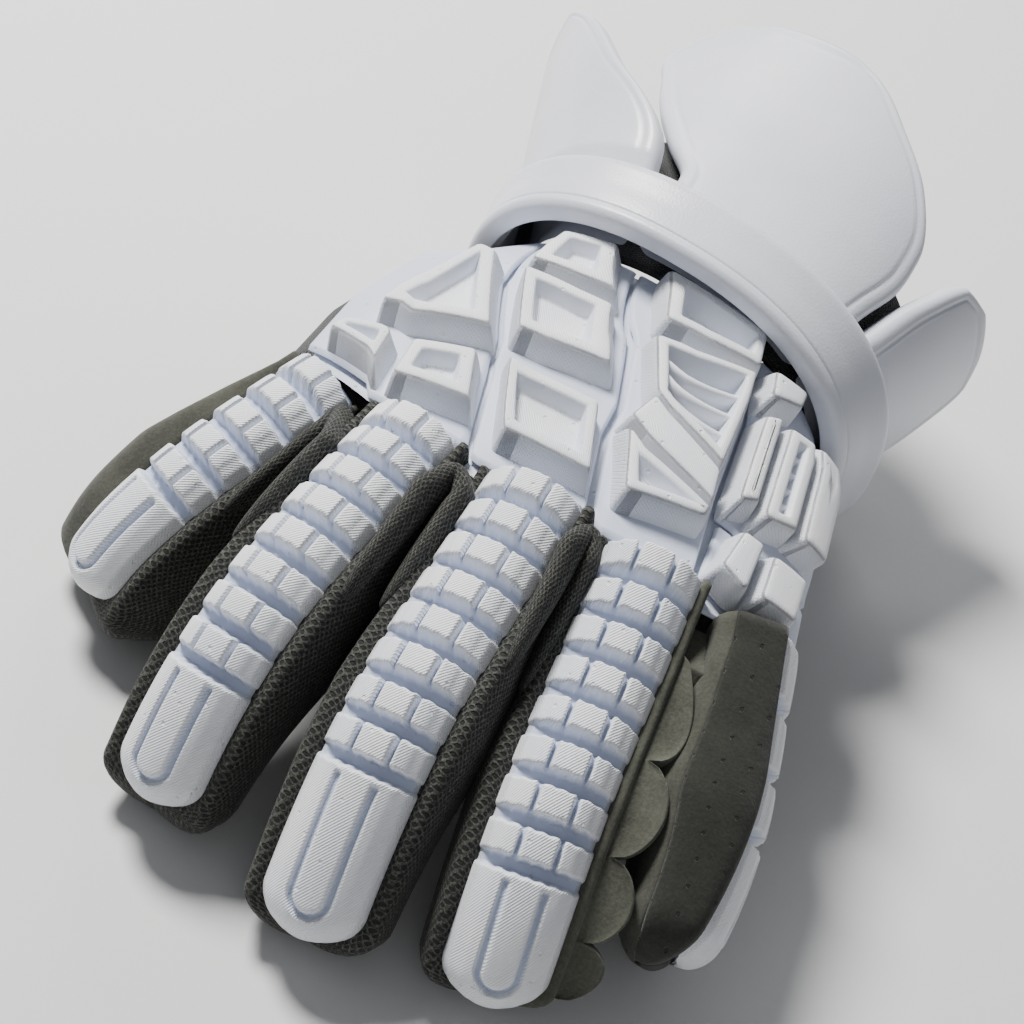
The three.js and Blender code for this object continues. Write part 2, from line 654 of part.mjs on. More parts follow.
// A point of the hand's surface. around is degrees from the top, positive toward the thumb,
// station runs from the knuckles to the wrist, and height stands out from the surface.
function handPoint(around, station, height) {
  const at = (column) => lookUp(handSections, 'station', station, column);
  const sine = full(Math.sin(radians(around)), handPower);
  const cosine = full(Math.cos(radians(around)), handPower);
  const half = handWidth * (sine > 0 ? at('radial') : at('ulnar'));
  const tall = handDepth * (cosine > 0 ? at('rise') : at('drop'));
  const x = handWidth * at('centre') + half * sine;
  const z = handDepth * at('level') + tall * cosine;
  const lean = Math.sign(sine) * Math.abs(sine) ** (handPower - 1) / half;
  const lift = Math.sign(cosine) * Math.abs(cosine) ** (handPower - 1) / tall;
  const slope = Math.hypot(lean, lift);
  const reach = height < 0 ? mouthReach : 0;
  const front = Math.max(...[-reach, 0, reach].map((aside) => lookUp(frontLine, 'x', x + aside, 'y')));
  const rear = backLength + turned * (x - wristCentre.x) + leaned * (z - backTop);
  return new THREE.Vector3(
    x + height * lean / slope,
    THREE.MathUtils.lerp(front, rear, station),
    z + height * lift / slope);
}

// A sheet on the hand between two edges. rows give the edges at each v, low and high its two faces.
function handSheet(rows, { low, high, across, along }) {
  const [first, last] = [rows[0].v, rows[rows.length - 1].v];
  const rings = [];
  for (let i = 0; i <= along; i += 1) {
    const v = THREE.MathUtils.lerp(first, last, i / along);
    const [from, to] = [lookUp(rows, 'v', v, 'from'), lookUp(rows, 'v', v, 'to')];
    const face = (height) => Array.from({ length: across + 1 }, (_, j) => (
      handPoint(90 * THREE.MathUtils.lerp(from, to, j / across), v, height)));
    rings.push([...face(high), ...face(low).reverse()]);
  }
  return loft(rings, null, { innerFrom: across + 1 });
}

// Corners of a patch in millimetres about its middle, and the way back to the surface
function patch(corners) {
  const middle = [0, 1].map((k) => corners.reduce((sum, corner) => sum + corner[k], 0) / corners.length);
  const step = 0.01;
  const [u, v] = middle;
  const here = handPoint(90 * u, v, 0);
  const scale = [
    here.distanceTo(handPoint(90 * (u + step), v, 0)) / step,
    here.distanceTo(handPoint(90 * u, v + step, 0)) / step,
  ];
  const flat = corners.map((corner) => new THREE.Vector2(
    (corner[0] - u) * scale[0], (corner[1] - v) * scale[1]));
  const lift = (spot, height) => handPoint(90 * (u + spot.x / scale[0]), v + spot.y / scale[1], height);
  return { flat, lift };
}

// A flat polygon with every edge moved inward by the same distance
function inset(flat, distance) {
  const count = flat.length;
  const inward = (a, b) => new THREE.Vector2(a.y - b.y, b.x - a.x).normalize();
  const turn = Math.sign(THREE.ShapeUtils.area(flat));
  return flat.map((spot, i) => {
    const before = inward(flat[(i + count - 1) % count], spot);
    const after = inward(spot, flat[(i + 1) % count]);
    const both = before.clone().add(after).multiplyScalar(turn * distance / (1 + before.dot(after)));
    return spot.clone().add(both);
  });
}

// Each edge of a polygon cut in two
function halved(flat) {
  return flat.flatMap((spot, i) => [spot, spot.clone().lerp(flat[(i + 1) % flat.length], 0.5)]);
}

const wideTray = 19;            // trays wider than this bend with the hand

// Stacked copies of a polygon, each moved in by its own distance and set at its own height
function stacked({ flat, lift }, levels) {
  const across = flat.map(({ x }) => x);
  const wide = Math.max(...across) - Math.min(...across) > wideTray;
  const shape = (outline) => (wide ? halved(outline) : outline);
  const rings = levels.map(([distance, height]) => (
    shape(inset(flat, distance)).map((spot) => lift(spot, height))));
  return loft(rings, shape(flat));
}

const trayWall = 1.6;           // how far the wall inside a tray slopes in
const slatWidth = 1.8;
const slatHeight = 0.8;         // of a slat's top, as a share of the rim's height

function tray({ corners, frame = 1, solid, deep, slats = 0 }) {
  const ground = patch(corners);
  const foot = [-wallSlope, sheetThickness * 0.5];
  const rim = [0, plateHeight];
  if (solid) return [stacked(ground, [foot, rim])];
  const edge = frame * frameWidth;
  const floor = deep ? sheetThickness + clearance : trayFloor;
  const body = stacked(ground, [foot, rim, [edge, plateHeight], [edge + trayWall, floor]]);
  const bars = [];
  for (let i = 1; i <= slats; i += 1) {
    const share = i / (slats + 1);
    const [a, b, c, d] = inset(ground.flat, edge * 0.5);
    const [start, end] = [a.clone().lerp(b, share), d.clone().lerp(c, share)];
    const turnedLine = end.clone().sub(start).rotateAround(new THREE.Vector2(), Math.PI / 2);
    const aside = turnedLine.setLength(slatWidth / 2);
    const bar = [
      start.clone().sub(aside), start.clone().add(aside), end.clone().add(aside), end.clone().sub(aside),
    ];
    const levels = [[0, floor - clearance], [0, plateHeight * slatHeight]];
    bars.push(stacked({ flat: bar, lift: ground.lift }, levels));
  }
  return [body, ...bars];
}

const sheetStep = 0.1;          // widest facet of a sheet, as a share of a quarter turn

for (const { name, sheet, trays } of backPlates) {
  const widest = Math.max(...sheet.map(({ from, to }) => to - from));
  const across = Math.ceil(widest / sheetStep);
  const base = handSheet(sheet, { low: 0, high: sheetThickness, across, along: 4 });
  const joined = trays.flatMap(tray).reduce((sum, piece) => sum.add(toSolid(piece)), toSolid(base));
  addPiece(name, toGeometry(joined), 'white');
}

const seamTurn = 0.98;          // where liner and palm meet, as a share of a quarter turn
const seamGap = 0.06;           // between them, in the same shares

addPiece('back_liner', handSheet(
  [{ v: linerBack, from: -seamTurn, to: seamTurn }, { v: 1, from: -seamTurn, to: seamTurn }],
  { low: -linerGap - handWall, high: -linerGap, across: 15, along: 5 }), 'cloth');
const [palmFrom, palmTo] = [seamTurn + seamGap, 4 - seamTurn - seamGap];
addPiece('palm', handSheet(
  [{ v: linerBack, from: palmFrom, to: palmTo }, { v: 1, from: palmFrom, to: palmTo }],
  { low: -linerGap - handWall, high: -linerGap, across: 10, along: 4 }), 'suede');

// Wrist band and cuff

const wristPower = 2.3;
const restLevel = wristCentre.z + wristHalf - wristHeight;

// A point of the cuff. turn is degrees from the top, positive toward the thumb, out stands out from
// the band's inner face and back runs along the cuff from the middle of the band.
function cuffPoint(turn, out, back) {
  const grown = out - bandThickness;
  const sine = full(Math.sin(radians(turn)), wristPower);
  const cosine = full(Math.cos(radians(turn)), wristPower);
  const x = (wristWidth / 2 + grown) * sine;
  const lowest = restLevel - wristCentre.z + Math.max(-grown, 0);
  const z = Math.max((wristHalf + grown) * cosine, lowest);
  const y = back + leaned * z;
  return new THREE.Vector3(x, y, z)
    .applyAxisAngle(new THREE.Vector3(0, 0, 1), radians(wristTurn))
    .add(wristCentre);
}

// A band round the whole cuff from a closed profile of (back, out) pairs
function cuffRing(profile, steps) {
  const rings = Array.from({ length: steps }, (_, i) => {
    const turn = 360 * i / steps;
    return profile(turn).map(([back, out]) => cuffPoint(turn, out, back));
  });
  return loft(rings, [], { looped: true, innerFrom: rings[0].length / 2 });
}

const bandFront = -bandWidth / 2;
const bandRear = bandWidth / 2;
const bandProfile = [
  [bandFront, 0.4], [bandFront, bandThickness * 0.7], [bandFront + 1.6, bandThickness],
  [0, bandThickness * 1.3], [bandRear - 2.4, bandThickness * 1.74], [bandRear, bandThickness * 1.45],
  [bandRear, bandWidth * wristFlare],
];
addPiece('wrist_band', cuffRing(() => bandProfile, 32), 'satin');

function flap({ length, lift, flare, edges, crown }) {
  const reach = length * cuffLength;
  const steps = [0, 0.05, 0.2, 0.35, 0.5, 0.65, 0.8, 0.95, 1];
  const rows = [0, 0.3, 0.6, 0.84, 0.96, 1];
  const free = bandRear + 1;
  const rings = [];
  for (let i = -1; i < rows.length; i += 1) {
    const spots = steps.map((at, j) => {
      const end = reach * evenSteps(crown, at);
      const back = i < 0 ? -flapUnder : THREE.MathUtils.lerp(free, end, rows[i]);
      const t = Math.max(back, 0) / reach;
      const turn = THREE.MathUtils.lerp(lookUp(edges, 't', t, 'from'), lookUp(edges, 't', t, 'to'), at);
      const past = Math.max(back - free, 0);
      const rise = wristFlare * (Math.min(back, free) - bandFront) + flare * past;
      const proud = lift * Math.min(past / 10, 1);
      const atEdge = j === 0 || j === steps.length - 1 || i === rows.length - 1;
      const thin = atEdge ? flapEdge : 0;
      const face = rise + proud - cuffGap;
      return { back, turn, outer: face - thin, inner: face - flapThickness + thin };
    });
    rings.push([
      ...spots.map(({ turn, outer, back }) => cuffPoint(turn, outer, back)),
      ...spots.map(({ turn, inner, back }) => cuffPoint(turn, inner, back)).reverse(),
    ]);
  }
  return loft(rings, null, { innerFrom: steps.length });
}

for (const row of flaps) addPiece(row.name, flap(row), 'satin');

// The lining lies inside the flaps and, under the wrist, inside the band. At its front it draws in
// to meet the hand.
const linerDraw = 3;

function linerProfile(turn) {
  const under = Math.min(Math.max((Math.abs(turn - 180) - 30) / 30, 0), 1);
  const offset = THREE.MathUtils.lerp(-cuffGap, -flapThickness - cuffGap * 2.4, under);
  const face = [-flapUnder, linerLength].map((back, i) => (
    [back, offset + wristFlare * (back - bandFront) * under - linerDraw * under * (1 - i)]));
  return [...face, ...face.map(([back, out]) => [back, out - linerWall]).reverse()];
}

addPiece('cuff_liner', cuffRing(linerProfile, 32), 'cloth');

// Suede web between the index finger and the thumb

function stallHull(finger, grow) {
  const { length, frameAt } = lines[finger.name];
  const rings = stallStations(length, stallPast * finger.past).map((s) => {
    const halves = [-1, 1].map((side) => stallHalf(finger, s, side).outer.slice(3)
      .map(([b, n], i) => [b + grow * side, n - grow * Math.sign(i - 1.5)]));
    const section = [...halves[0], ...halves[1].reverse()];
    return place(frameAt(s, rootLevel(s)), section);
  });
  return toSolid(loft(rings, rings[0].map((_, i) => {
    const turn = 2 * Math.PI * i / rings[0].length;
    return new THREE.Vector2(Math.cos(turn), Math.sin(turn));
  })));
}

const webRows = [
  { z: -0.46, front: -0.22 }, { z: -0.60, front: -0.27 },
  { z: -0.74, front: -0.25 }, { z: -0.86, front: -0.19 },
];
const webSpan = [0.46, 0.62];
const webBack = -0.08;

function web() {
  const rings = webRows.map(({ z, front }) => [
    [webSpan[0], webBack], [webSpan[1], webBack], [webSpan[1], front], [webSpan[0], front],
  ].map(([x, y]) => new THREE.Vector3(x * handWidth, y * backLength, z * handDepth)));
  const outline = [[0, 0], [1, 0], [1, 1], [0, 1]].map(([x, y]) => new THREE.Vector2(x, y));
  const neighbours = fingers.filter(({ name }) => name === 'index' || name === 'thumb');
  const hulls = neighbours.map((finger) => stallHull(finger, clearance * 2));
  return [...hulls, toSolid(sidePad(clearance * 2))].reduce(
    (sum, hull) => sum.subtract(hull), toSolid(loft(rings, outline)));
}

addPiece('thumb_web', toGeometry(web()), 'suede');

// The origin goes to the centre of the resting face

const bounds = new THREE.Box3().setFromObject(glove);
const shift = bounds.getCenter(new THREE.Vector3()).negate().setZ(-bounds.min.z);
for (const mesh of glove.children) mesh.geometry.translate(shift.x, shift.y, shift.z);
glove.userData.handFrame = shift.toArray();

export default glove;
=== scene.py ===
import json
import math

import bmesh
import bpy
import numpy as np
from mathutils import Matrix, Vector

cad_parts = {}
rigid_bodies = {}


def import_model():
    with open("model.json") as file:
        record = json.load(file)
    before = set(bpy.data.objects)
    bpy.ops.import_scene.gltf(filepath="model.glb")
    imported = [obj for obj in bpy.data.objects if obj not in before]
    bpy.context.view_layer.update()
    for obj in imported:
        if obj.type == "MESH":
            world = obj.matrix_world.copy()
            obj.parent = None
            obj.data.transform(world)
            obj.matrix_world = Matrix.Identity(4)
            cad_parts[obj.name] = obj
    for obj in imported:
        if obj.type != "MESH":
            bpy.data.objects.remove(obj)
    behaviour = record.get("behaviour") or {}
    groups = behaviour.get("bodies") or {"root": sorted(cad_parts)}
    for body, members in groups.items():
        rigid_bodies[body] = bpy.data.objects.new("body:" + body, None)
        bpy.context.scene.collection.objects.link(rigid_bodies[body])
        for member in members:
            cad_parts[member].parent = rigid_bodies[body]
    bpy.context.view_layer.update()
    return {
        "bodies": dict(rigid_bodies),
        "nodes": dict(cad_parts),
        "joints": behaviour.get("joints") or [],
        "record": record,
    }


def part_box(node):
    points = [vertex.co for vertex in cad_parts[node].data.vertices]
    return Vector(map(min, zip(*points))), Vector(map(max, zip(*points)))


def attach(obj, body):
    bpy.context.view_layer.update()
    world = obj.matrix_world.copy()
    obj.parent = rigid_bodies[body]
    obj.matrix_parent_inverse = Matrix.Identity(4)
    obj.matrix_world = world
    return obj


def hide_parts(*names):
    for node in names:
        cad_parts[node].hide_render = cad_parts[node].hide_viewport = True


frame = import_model()

# Measures of the glove in millimetres, in its own frame with the knuckles near the origin

CLEARANCE = 0.3
HAND_WIDTH = 138
HAND_DEPTH = 52
BACK_LENGTH = 96
SHEET = 2.5
PLATE_HEIGHT = 10.5
TRAY_FLOOR = 5.5
FRAME_WIDTH = 3.2
WALL_SLOPE = 2.4
HAND_WALL = 2.4
MOUTH_GAP = 0.6
MOUTH_REACH = 5
MOUTH_SHARE = 0.86
MOUTH_TAPER = 0.75  # share of that width kept where the mesh doesn't stand out
LINER_GAP = 2.15
LINER_BACK = 0.015
ROW_GROOVE = 3.6
NOTCH_DEPTH = 3.3
GUARD = 13
CAP_RUN = 43
CAP_GROOVE = 1.7
CAP_GROOVE_DEPTH = 1.6
CAP_TONGUE = 4
CAP_ROUND = 11
SKIRT = 0.4  # least height of a section's lower edge above the guard's underside
GUARD_STEP = 0.42  # between the rows of points along a guard
SIDE_SPLITS = 46  # points from the ridge down to a guard's lower edge
BASE_POINTS = 5  # points across a guard's underside
DOME = 0.25  # how far a block's top crowns
STALL_SIDE = 5
STALL_SHOULDER = 8.5
STALL_ROUND = 11
STALL_PAST = 3.5
STALL_WALL = 2.2
STALL_GAP = 0.7
ROOT_STAND = 0.2
MOUTH_BACK = 6
ROOT_RUN = 24
SEAM_DROP = 0.86
PAD_THICKNESS = 2.6
PAD_BULGE = 8.5
WRIST_WIDTH = 129
WRIST_HEIGHT = 99.5
WRIST_HALF = 51
WRIST_BACK = 103
WRIST_TURN = math.radians(-12)
WRIST_LEAN = math.radians(-5.5)
WRIST_FLARE = 0.15
WRIST_POWER = 2.3
BAND_WIDTH = 22
BAND_THICKNESS = 7
FLAP_THICKNESS = 8
CUFF_GAP = 0.9
CUFF_LENGTH = 108
LINER_LENGTH = 50
LINER_WALL = 2
LINER_DRAW = 3
SKIN_THICKNESS = 1.1
THREAD_RADIUS = 0.26
HAND_POWER = 2.4

HAND_LEVEL = -0.808
HAND = {
    "station": [0.0, 0.33, 0.66, 1.0],
    "centre": [0.094, 0.109, 0.145, 0.196],
    "ulnar": [0.565, 0.565, 0.540, 0.358],
    "radial": [0.620, 0.570, 0.510, 0.368],
    "rise": [0.558, 0.596, 0.635, 0.673],
    "drop": [0.20, 0.32, 0.44, 0.50],
}

SHARED = dict(rows=8, pitch=11.35, depth=41, radial=1, ulnar=1, thick=1, tip=0.6, past=1, root=1)
FINGERS = {
    "index": SHARED | dict(width=27, cap=1.04, x=0.406, y=-0.093, z=-0.123, yaw=2.4, bend=10,
                           pitches=[28, 18, 39, 73], roll=1.5, radial=0.24),
    "middle": SHARED | dict(width=27.5, cap=1.22, x=0.141, y=-0.061, z=-0.054, yaw=-4.6, bend=11,
                            pitches=[18, 17.5, 43.5, 59], roll=-7.8),
    "ring": SHARED | dict(width=26, cap=1.06, x=-0.122, y=0.012, z=-0.09, yaw=-12.6, bend=8.5,
                          pitches=[10.5, 21, 44, 68], roll=-9.6, tip=0.62, past=2),
    "pinky": SHARED | dict(rows=5, width=24.5, cap=1.04, x=-0.353, y=0.184, z=-0.362, yaw=-29,
                           bend=-6.5, pitches=[17.5, 23.5, 42, 72], roll=-7, ulnar=2.8, tip=0.9,
                           past=2.6),
    "thumb": SHARED | dict(rows=3, pitch=16.6, width=27, depth=31, cap=1.02, x=0.722, y=-0.05,
                           z=-0.688, yaw=14.4, bend=-22, pitches=[27.6, 23, 23.5, 27.5], roll=97,
                           radial=0.8, thick=0.68, tip=0.75, root=0.79),
}

# Small helpers


def clamp(x, low=0.0, high=1.0):
    return np.minimum(np.maximum(x, low), high)


def blend(a, b, t):
    return a + (b - a) * t


def smooth(x, low=0.0, high=1.0):
    t = clamp((x - low) / (high - low))
    return t * t * (3 - 2 * t)


def full(value, power):
    return np.sign(value) * np.abs(value) ** (2 / power)


def unit(v):
    return v / np.maximum(np.linalg.norm(v, axis=-1, keepdims=True), 1e-9)


def curve(points, count):
    """A smooth line through the given points, with count samples on each span."""
    p = np.asarray(points, float)
    padded = np.vstack([2 * p[0] - p[1], p, 2 * p[-1] - p[-2]])
    out = []
    for i in range(len(p) - 1):
        a, b, c, d = padded[i : i + 4]
        for k in range(count):
            t = k / count
            out.append(0.5 * (2 * b + (c - a) * t + (2 * a - 5 * b + 4 * c - d) * t**2
                              + (3 * b - a - 3 * c + d) * t**3))
    out.append(p[-1])
    return np.array(out)


def monotone(xs, ys, at):
    """Smooth interpolation that stays between neighbouring values."""
    xs, ys, at = (np.asarray(values, float) for values in (xs, ys, at))
    step = np.diff(xs)
    slope = np.diff(ys) / step
    tangent = np.zeros(len(xs))
    for i in range(1, len(xs) - 1):
        if slope[i - 1] * slope[i] > 0:
            tangent[i] = 2 / (1 / slope[i - 1] + 1 / slope[i])
    tangent[0], tangent[-1] = slope[0], slope[-1]
    i = np.clip(np.searchsorted(xs, at, side="right") - 1, 0, len(xs) - 2)
    t = clamp((at - xs[i]) / step[i])
    return ((2 * t**3 - 3 * t**2 + 1) * ys[i] + (t**3 - 2 * t**2 + t) * step[i] * tangent[i]
            + (3 * t**2 - 2 * t**3) * ys[i + 1] + (t**3 - t**2) * step[i] * tangent[i + 1])


# Finger lines


class Line:
    """The ridge of a finger: points and directions along it."""

    STEP = 0.25
    MARGIN = 30

    def __init__(self, f):
        self.f = f
        self.run = (f["rows"] - 1) * f["pitch"]
        self.length = self.run + f["cap"] * CAP_RUN
        self.s = np.arange(-self.MARGIN, self.length + self.MARGIN, self.STEP)
        middle = self.s + self.STEP / 2
        steps = self.ahead(middle) * self.STEP
        line = np.vstack([np.zeros(3), np.cumsum(steps, axis=0)[:-1]])
        zero = np.array([np.interp(0, self.s, line[:, k]) for k in range(3)])
        start = np.array([f["x"] * HAND_WIDTH, f["y"] * BACK_LENGTH, f["z"] * HAND_DEPTH])
        self.points = line - zero + start

    def yaw(self, s):
        return np.radians(self.f["yaw"] + self.f["bend"] * clamp((s / self.length - 0.35) / 0.65))

    def ahead(self, s):
        pitch = np.radians(np.interp(s / self.length, [0, 0.35, 0.7, 1], self.f["pitches"]))
        yaw = self.yaw(s)
        level = np.cos(pitch)
        return np.stack([np.sin(yaw) * level, -np.cos(yaw) * level, -np.sin(pitch)], -1)

    def frames(self, s):
        """Point, side and outward direction at each s. Sections stand upright at the mouth."""
        s = np.asarray(s, float)
        level = (1 - clamp((s + MOUTH_BACK) / ROOT_RUN))[..., None]
        yaw = self.yaw(s)
        across = np.stack([np.cos(yaw), np.sin(yaw), 0 * yaw], -1)
        upright = np.stack([np.sin(yaw), -np.cos(yaw), 0 * yaw], -1)
        along = unit(blend(self.ahead(s), upright, level))
        up = np.cross(across, along)
        up = up * np.where(up[..., 2:] < 0, -1, 1)
        roll = math.radians(self.f["roll"])
        point = np.stack([np.interp(s, self.s, self.points[:, k]) for k in range(3)], -1)
        side = across * math.cos(roll) - up * math.sin(roll)
        out = up * math.cos(roll) + across * math.sin(roll)
        return point, side, out

    def place(self, s, flat):
        """Rows of (across, outward) pairs set into the frames: n values of s, flat is n x m x 2."""
        point, side, out = self.frames(s)
        return point[:, None] + side[:, None] * flat[..., 0:1] + out[:, None] * flat[..., 1:2]


LINES = {name: Line(f) for name, f in FINGERS.items()}


def upright_frame(name):
    """The frame at a finger's mouth."""
    point, side, out = LINES[name].frames(np.array([-MOUTH_BACK]))
    return point[0], side[0], out[0]


def front_line():
    spots = []
    for name, f in FINGERS.items():
        point, side, out = upright_frame(name)
        if name == "thumb":
            spots += [point - out * f["depth"] * f["root"], point]
        else:
            half = (f["width"] / 2 + STALL_SIDE) * MOUTH_SHARE
            taper = MOUTH_TAPER + (1 - MOUTH_TAPER) * f["radial"]
            spots += [point - side * half, point + side * half * taper]
    spots.sort(key=lambda p: p[0])
    return np.array(spots)


FRONT = front_line()
WRIST_CENTRE = np.array([HAND_WIDTH * 0.203, WRIST_BACK, HAND_DEPTH * -0.73])
REST_LEVEL = WRIST_CENTRE[2] + WRIST_HALF - WRIST_HEIGHT


def hand_point(around, station, height):
    """A point of the hand's surface: around in degrees from the top, station 0 at the knuckles."""
    around, station, height = np.broadcast_arrays(around, station, height)
    row = {k: np.interp(station, HAND["station"], v) for k, v in HAND.items()}
    sine = full(np.sin(np.radians(around)), HAND_POWER)
    cosine = full(np.cos(np.radians(around)), HAND_POWER)
    half = HAND_WIDTH * np.where(sine > 0, row["radial"], row["ulnar"])
    tall = HAND_DEPTH * np.where(cosine > 0, row["rise"], row["drop"])
    x = HAND_WIDTH * row["centre"] + half * sine
    z = HAND_DEPTH * HAND_LEVEL + tall * cosine
    lean = np.sign(sine) * np.abs(sine) ** (HAND_POWER - 1) / half
    lift = np.sign(cosine) * np.abs(cosine) ** (HAND_POWER - 1) / tall
    slope = np.hypot(lean, lift)
    reach = np.where(height < 0, MOUTH_REACH, 0)
    edge_x, edge_y = FRONT[:, :2].T
    front = np.maximum.reduce([np.interp(x + reach * k, edge_x, edge_y) for k in (-1, 0, 1)])
    rear = (BACK_LENGTH + math.tan(WRIST_TURN) * (x - WRIST_CENTRE[0])
            + math.tan(WRIST_LEAN) * (z + 0.135 * HAND_DEPTH))
    y = blend(front + MOUTH_GAP, rear, station)
    return np.stack([x + height * lean / slope, y, z + height * lift / slope], -1)


def cuff_point(turn, out, back):
    """A point of the cuff: turn in degrees from the top, out from the band's inner face."""
    turn, out, back = np.broadcast_arrays(turn, out, back)
    grown = out - BAND_THICKNESS
    sine = full(np.sin(np.radians(turn)), WRIST_POWER)
    cosine = full(np.cos(np.radians(turn)), WRIST_POWER)
    x = (WRIST_WIDTH / 2 + grown) * sine
    lowest = REST_LEVEL - WRIST_CENTRE[2] + np.maximum(-grown, 0)
    z = np.maximum((WRIST_HALF + grown) * cosine, lowest)
    y = back + math.tan(WRIST_LEAN) * z
    c, s = math.cos(WRIST_TURN), math.sin(WRIST_TURN)
    return np.stack([x * c - y * s, x * s + y * c, z], -1) + WRIST_CENTRE


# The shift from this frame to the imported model's comes from the band, the one ring both share
BAND_PROFILE = [(-11, 0.4), (-11, 4.9), (-9.4, 7), (0, 9.1), (8.6, 12.18), (11, 10.15), (11, 3.3)]
BAND_SIDES = 32
band_ring = np.array([cuff_point(360 * i / BAND_SIDES, out, back)
                      for i in range(BAND_SIDES) for back, out in BAND_PROFILE])
SHIFT = np.array(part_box("wrist_band")[0]) * 1000 - band_ring.min(axis=0)


def metres(points):
    return (np.asarray(points) + SHIFT) / 1000


# Materials


class Graph:
    """A new material and short calls for its nodes, placed by the object's own coordinates."""

    def __init__(self, name, colour, roughness, **sockets):
        self.made = bpy.data.materials.new(name)
        self.made.use_nodes = True
        self.tree = self.made.node_tree
        self.sockets = self.tree.nodes["Principled BSDF"].inputs
        self.sockets["Base Color"].default_value = (*colour, 1)
        for key, value in dict(sockets, Roughness=roughness).items():
            self.sockets[key.replace("_", " ")].default_value = value
        self.where = self.node("ShaderNodeTexCoord").outputs["Object"]

    def set(self, name, output):
        self.tree.links.new(output, self.sockets[name])

    def node(self, kind, **settings):
        made = self.tree.nodes.new(kind)
        inputs = settings.pop("inputs", {})
        for key, value in settings.items():
            setattr(made, key, value)
        for key, value in inputs.items():
            if hasattr(value, "is_linked"):
                self.tree.links.new(value, made.inputs[key])
            else:
                made.inputs[key].default_value = value
        return made

    def flat(self):
        """The two flat coordinates, in millimetres."""
        flat = self.node("ShaderNodeTexCoord").outputs["UV"]
        return self.node("ShaderNodeSeparateXYZ", inputs={0: flat}).outputs[:2]

    def attribute(self, name):
        return self.node("ShaderNodeAttribute", attribute_name=name).outputs["Fac"]

    def noise(self, scale, detail=3.0, roughness=0.5):
        return self.node("ShaderNodeTexNoise", inputs={
            "Vector": self.where, "Scale": scale, "Detail": detail,
            "Roughness": roughness}).outputs["Fac"]

    def cells(self, scale):
        """The distance to the nearest of many scattered points."""
        return self.node("ShaderNodeTexVoronoi", inputs={
            "Vector": self.where, "Scale": scale}).outputs["Distance"]

    def maths(self, operation, a, b=0.0, c=0.0):
        inputs = {0: a, 1: b, 2: c}
        return self.node("ShaderNodeMath", operation=operation, inputs=inputs).outputs[0]

    def times(self, a, b):
        return self.maths("MULTIPLY", a, b)

    def plus(self, a, b):
        return self.maths("ADD", a, b)

    def ramp(self, value, low, high):
        return self.node("ShaderNodeMapRange", interpolation_type="SMOOTHSTEP", inputs={
            "Value": value, "From Min": low, "From Max": high}).outputs[0]

    def mix(self, share, a, b):
        a, b = (value if hasattr(value, "is_linked") else (*value, 1) for value in (a, b))
        inputs = {0: share, 6: a, 7: b}
        return self.node("ShaderNodeMix", data_type="RGBA", inputs=inputs).outputs[2]

    def bump(self, height, distance, normal=None):
        inputs = {"Height": height, "Distance": distance, "Strength": 1.0}
        if normal is not None:
            inputs["Normal"] = normal
        return self.node("ShaderNodeBump", inputs=inputs).outputs["Normal"]

    def wave(self, value, pitch):
        """A cosine of the value with that pitch."""
        return self.maths("COSINE", self.times(value, 2 * math.pi / pitch))


def moulded_white():
    """Moulded foam: painted bluish shade in grooves and hollows, fine ribs on tops, a diamond grid
    on side walls, small pits.
    """
    g = Graph("moulded_white", (0.80, 0.815, 0.85), 0.5, Specular_IOR_Level=0.4)
    u, v = g.flat()
    worn = g.mix(g.ramp(g.noise(45, 2), 0.3, 0.75), (0.77, 0.79, 0.84), (0.84, 0.85, 0.875))
    # Painted shade: the colour turns blue-grey in grooves, notches, tray walls and the sheets
    # between trays, by the value stored for each point.
    g.set("Base Color", g.mix(g.times(g.attribute("cavity"), 0.9), worn, (0.49, 0.55, 0.71)))
    g.set("Roughness", g.maths("MULTIPLY_ADD", g.noise(160, 2), 0.22, 0.40))
    slant = g.plus(u, g.times(v, 0.85))
    other = g.maths("SUBTRACT", u, g.times(v, 0.85))
    diamond = g.maths("MAXIMUM", g.wave(slant, 1.05), g.wave(other, 1.05))
    diamond = g.times(g.ramp(diamond, 0.55, 1.0), g.attribute("side"))
    rib = g.times(g.wave(slant, 0.85), g.times(g.attribute("top"), 0.22))
    pits = g.times(g.ramp(g.cells(210), 0.14, 0.05), -1.2)
    grain = g.times(g.noise(900, 3), 0.35)
    height = g.plus(g.plus(g.times(diamond, 0.8), rib), g.plus(pits, grain))
    g.set("Normal", g.bump(height, 0.00022))
    return g.made


def satin_white():
    """Smooth coated cloth over foam, with a very fine grain and soft puckers."""
    g = Graph("satin_white", (0.78, 0.79, 0.83), 0.34, Specular_IOR_Level=0.45, Coat_Weight=0.12,
              Coat_Roughness=0.25)
    tone = g.ramp(g.noise(18, 3), 0.3, 0.7)
    g.set("Base Color", g.mix(tone, (0.63, 0.65, 0.72), (0.69, 0.705, 0.76)))
    g.set("Roughness", g.maths("MULTIPLY_ADD", g.noise(60, 2), 0.16, 0.27))
    fine = g.bump(g.cells(1300), 0.00004)
    g.set("Normal", g.bump(g.noise(28, 2), 0.0006, fine))
    return g.made


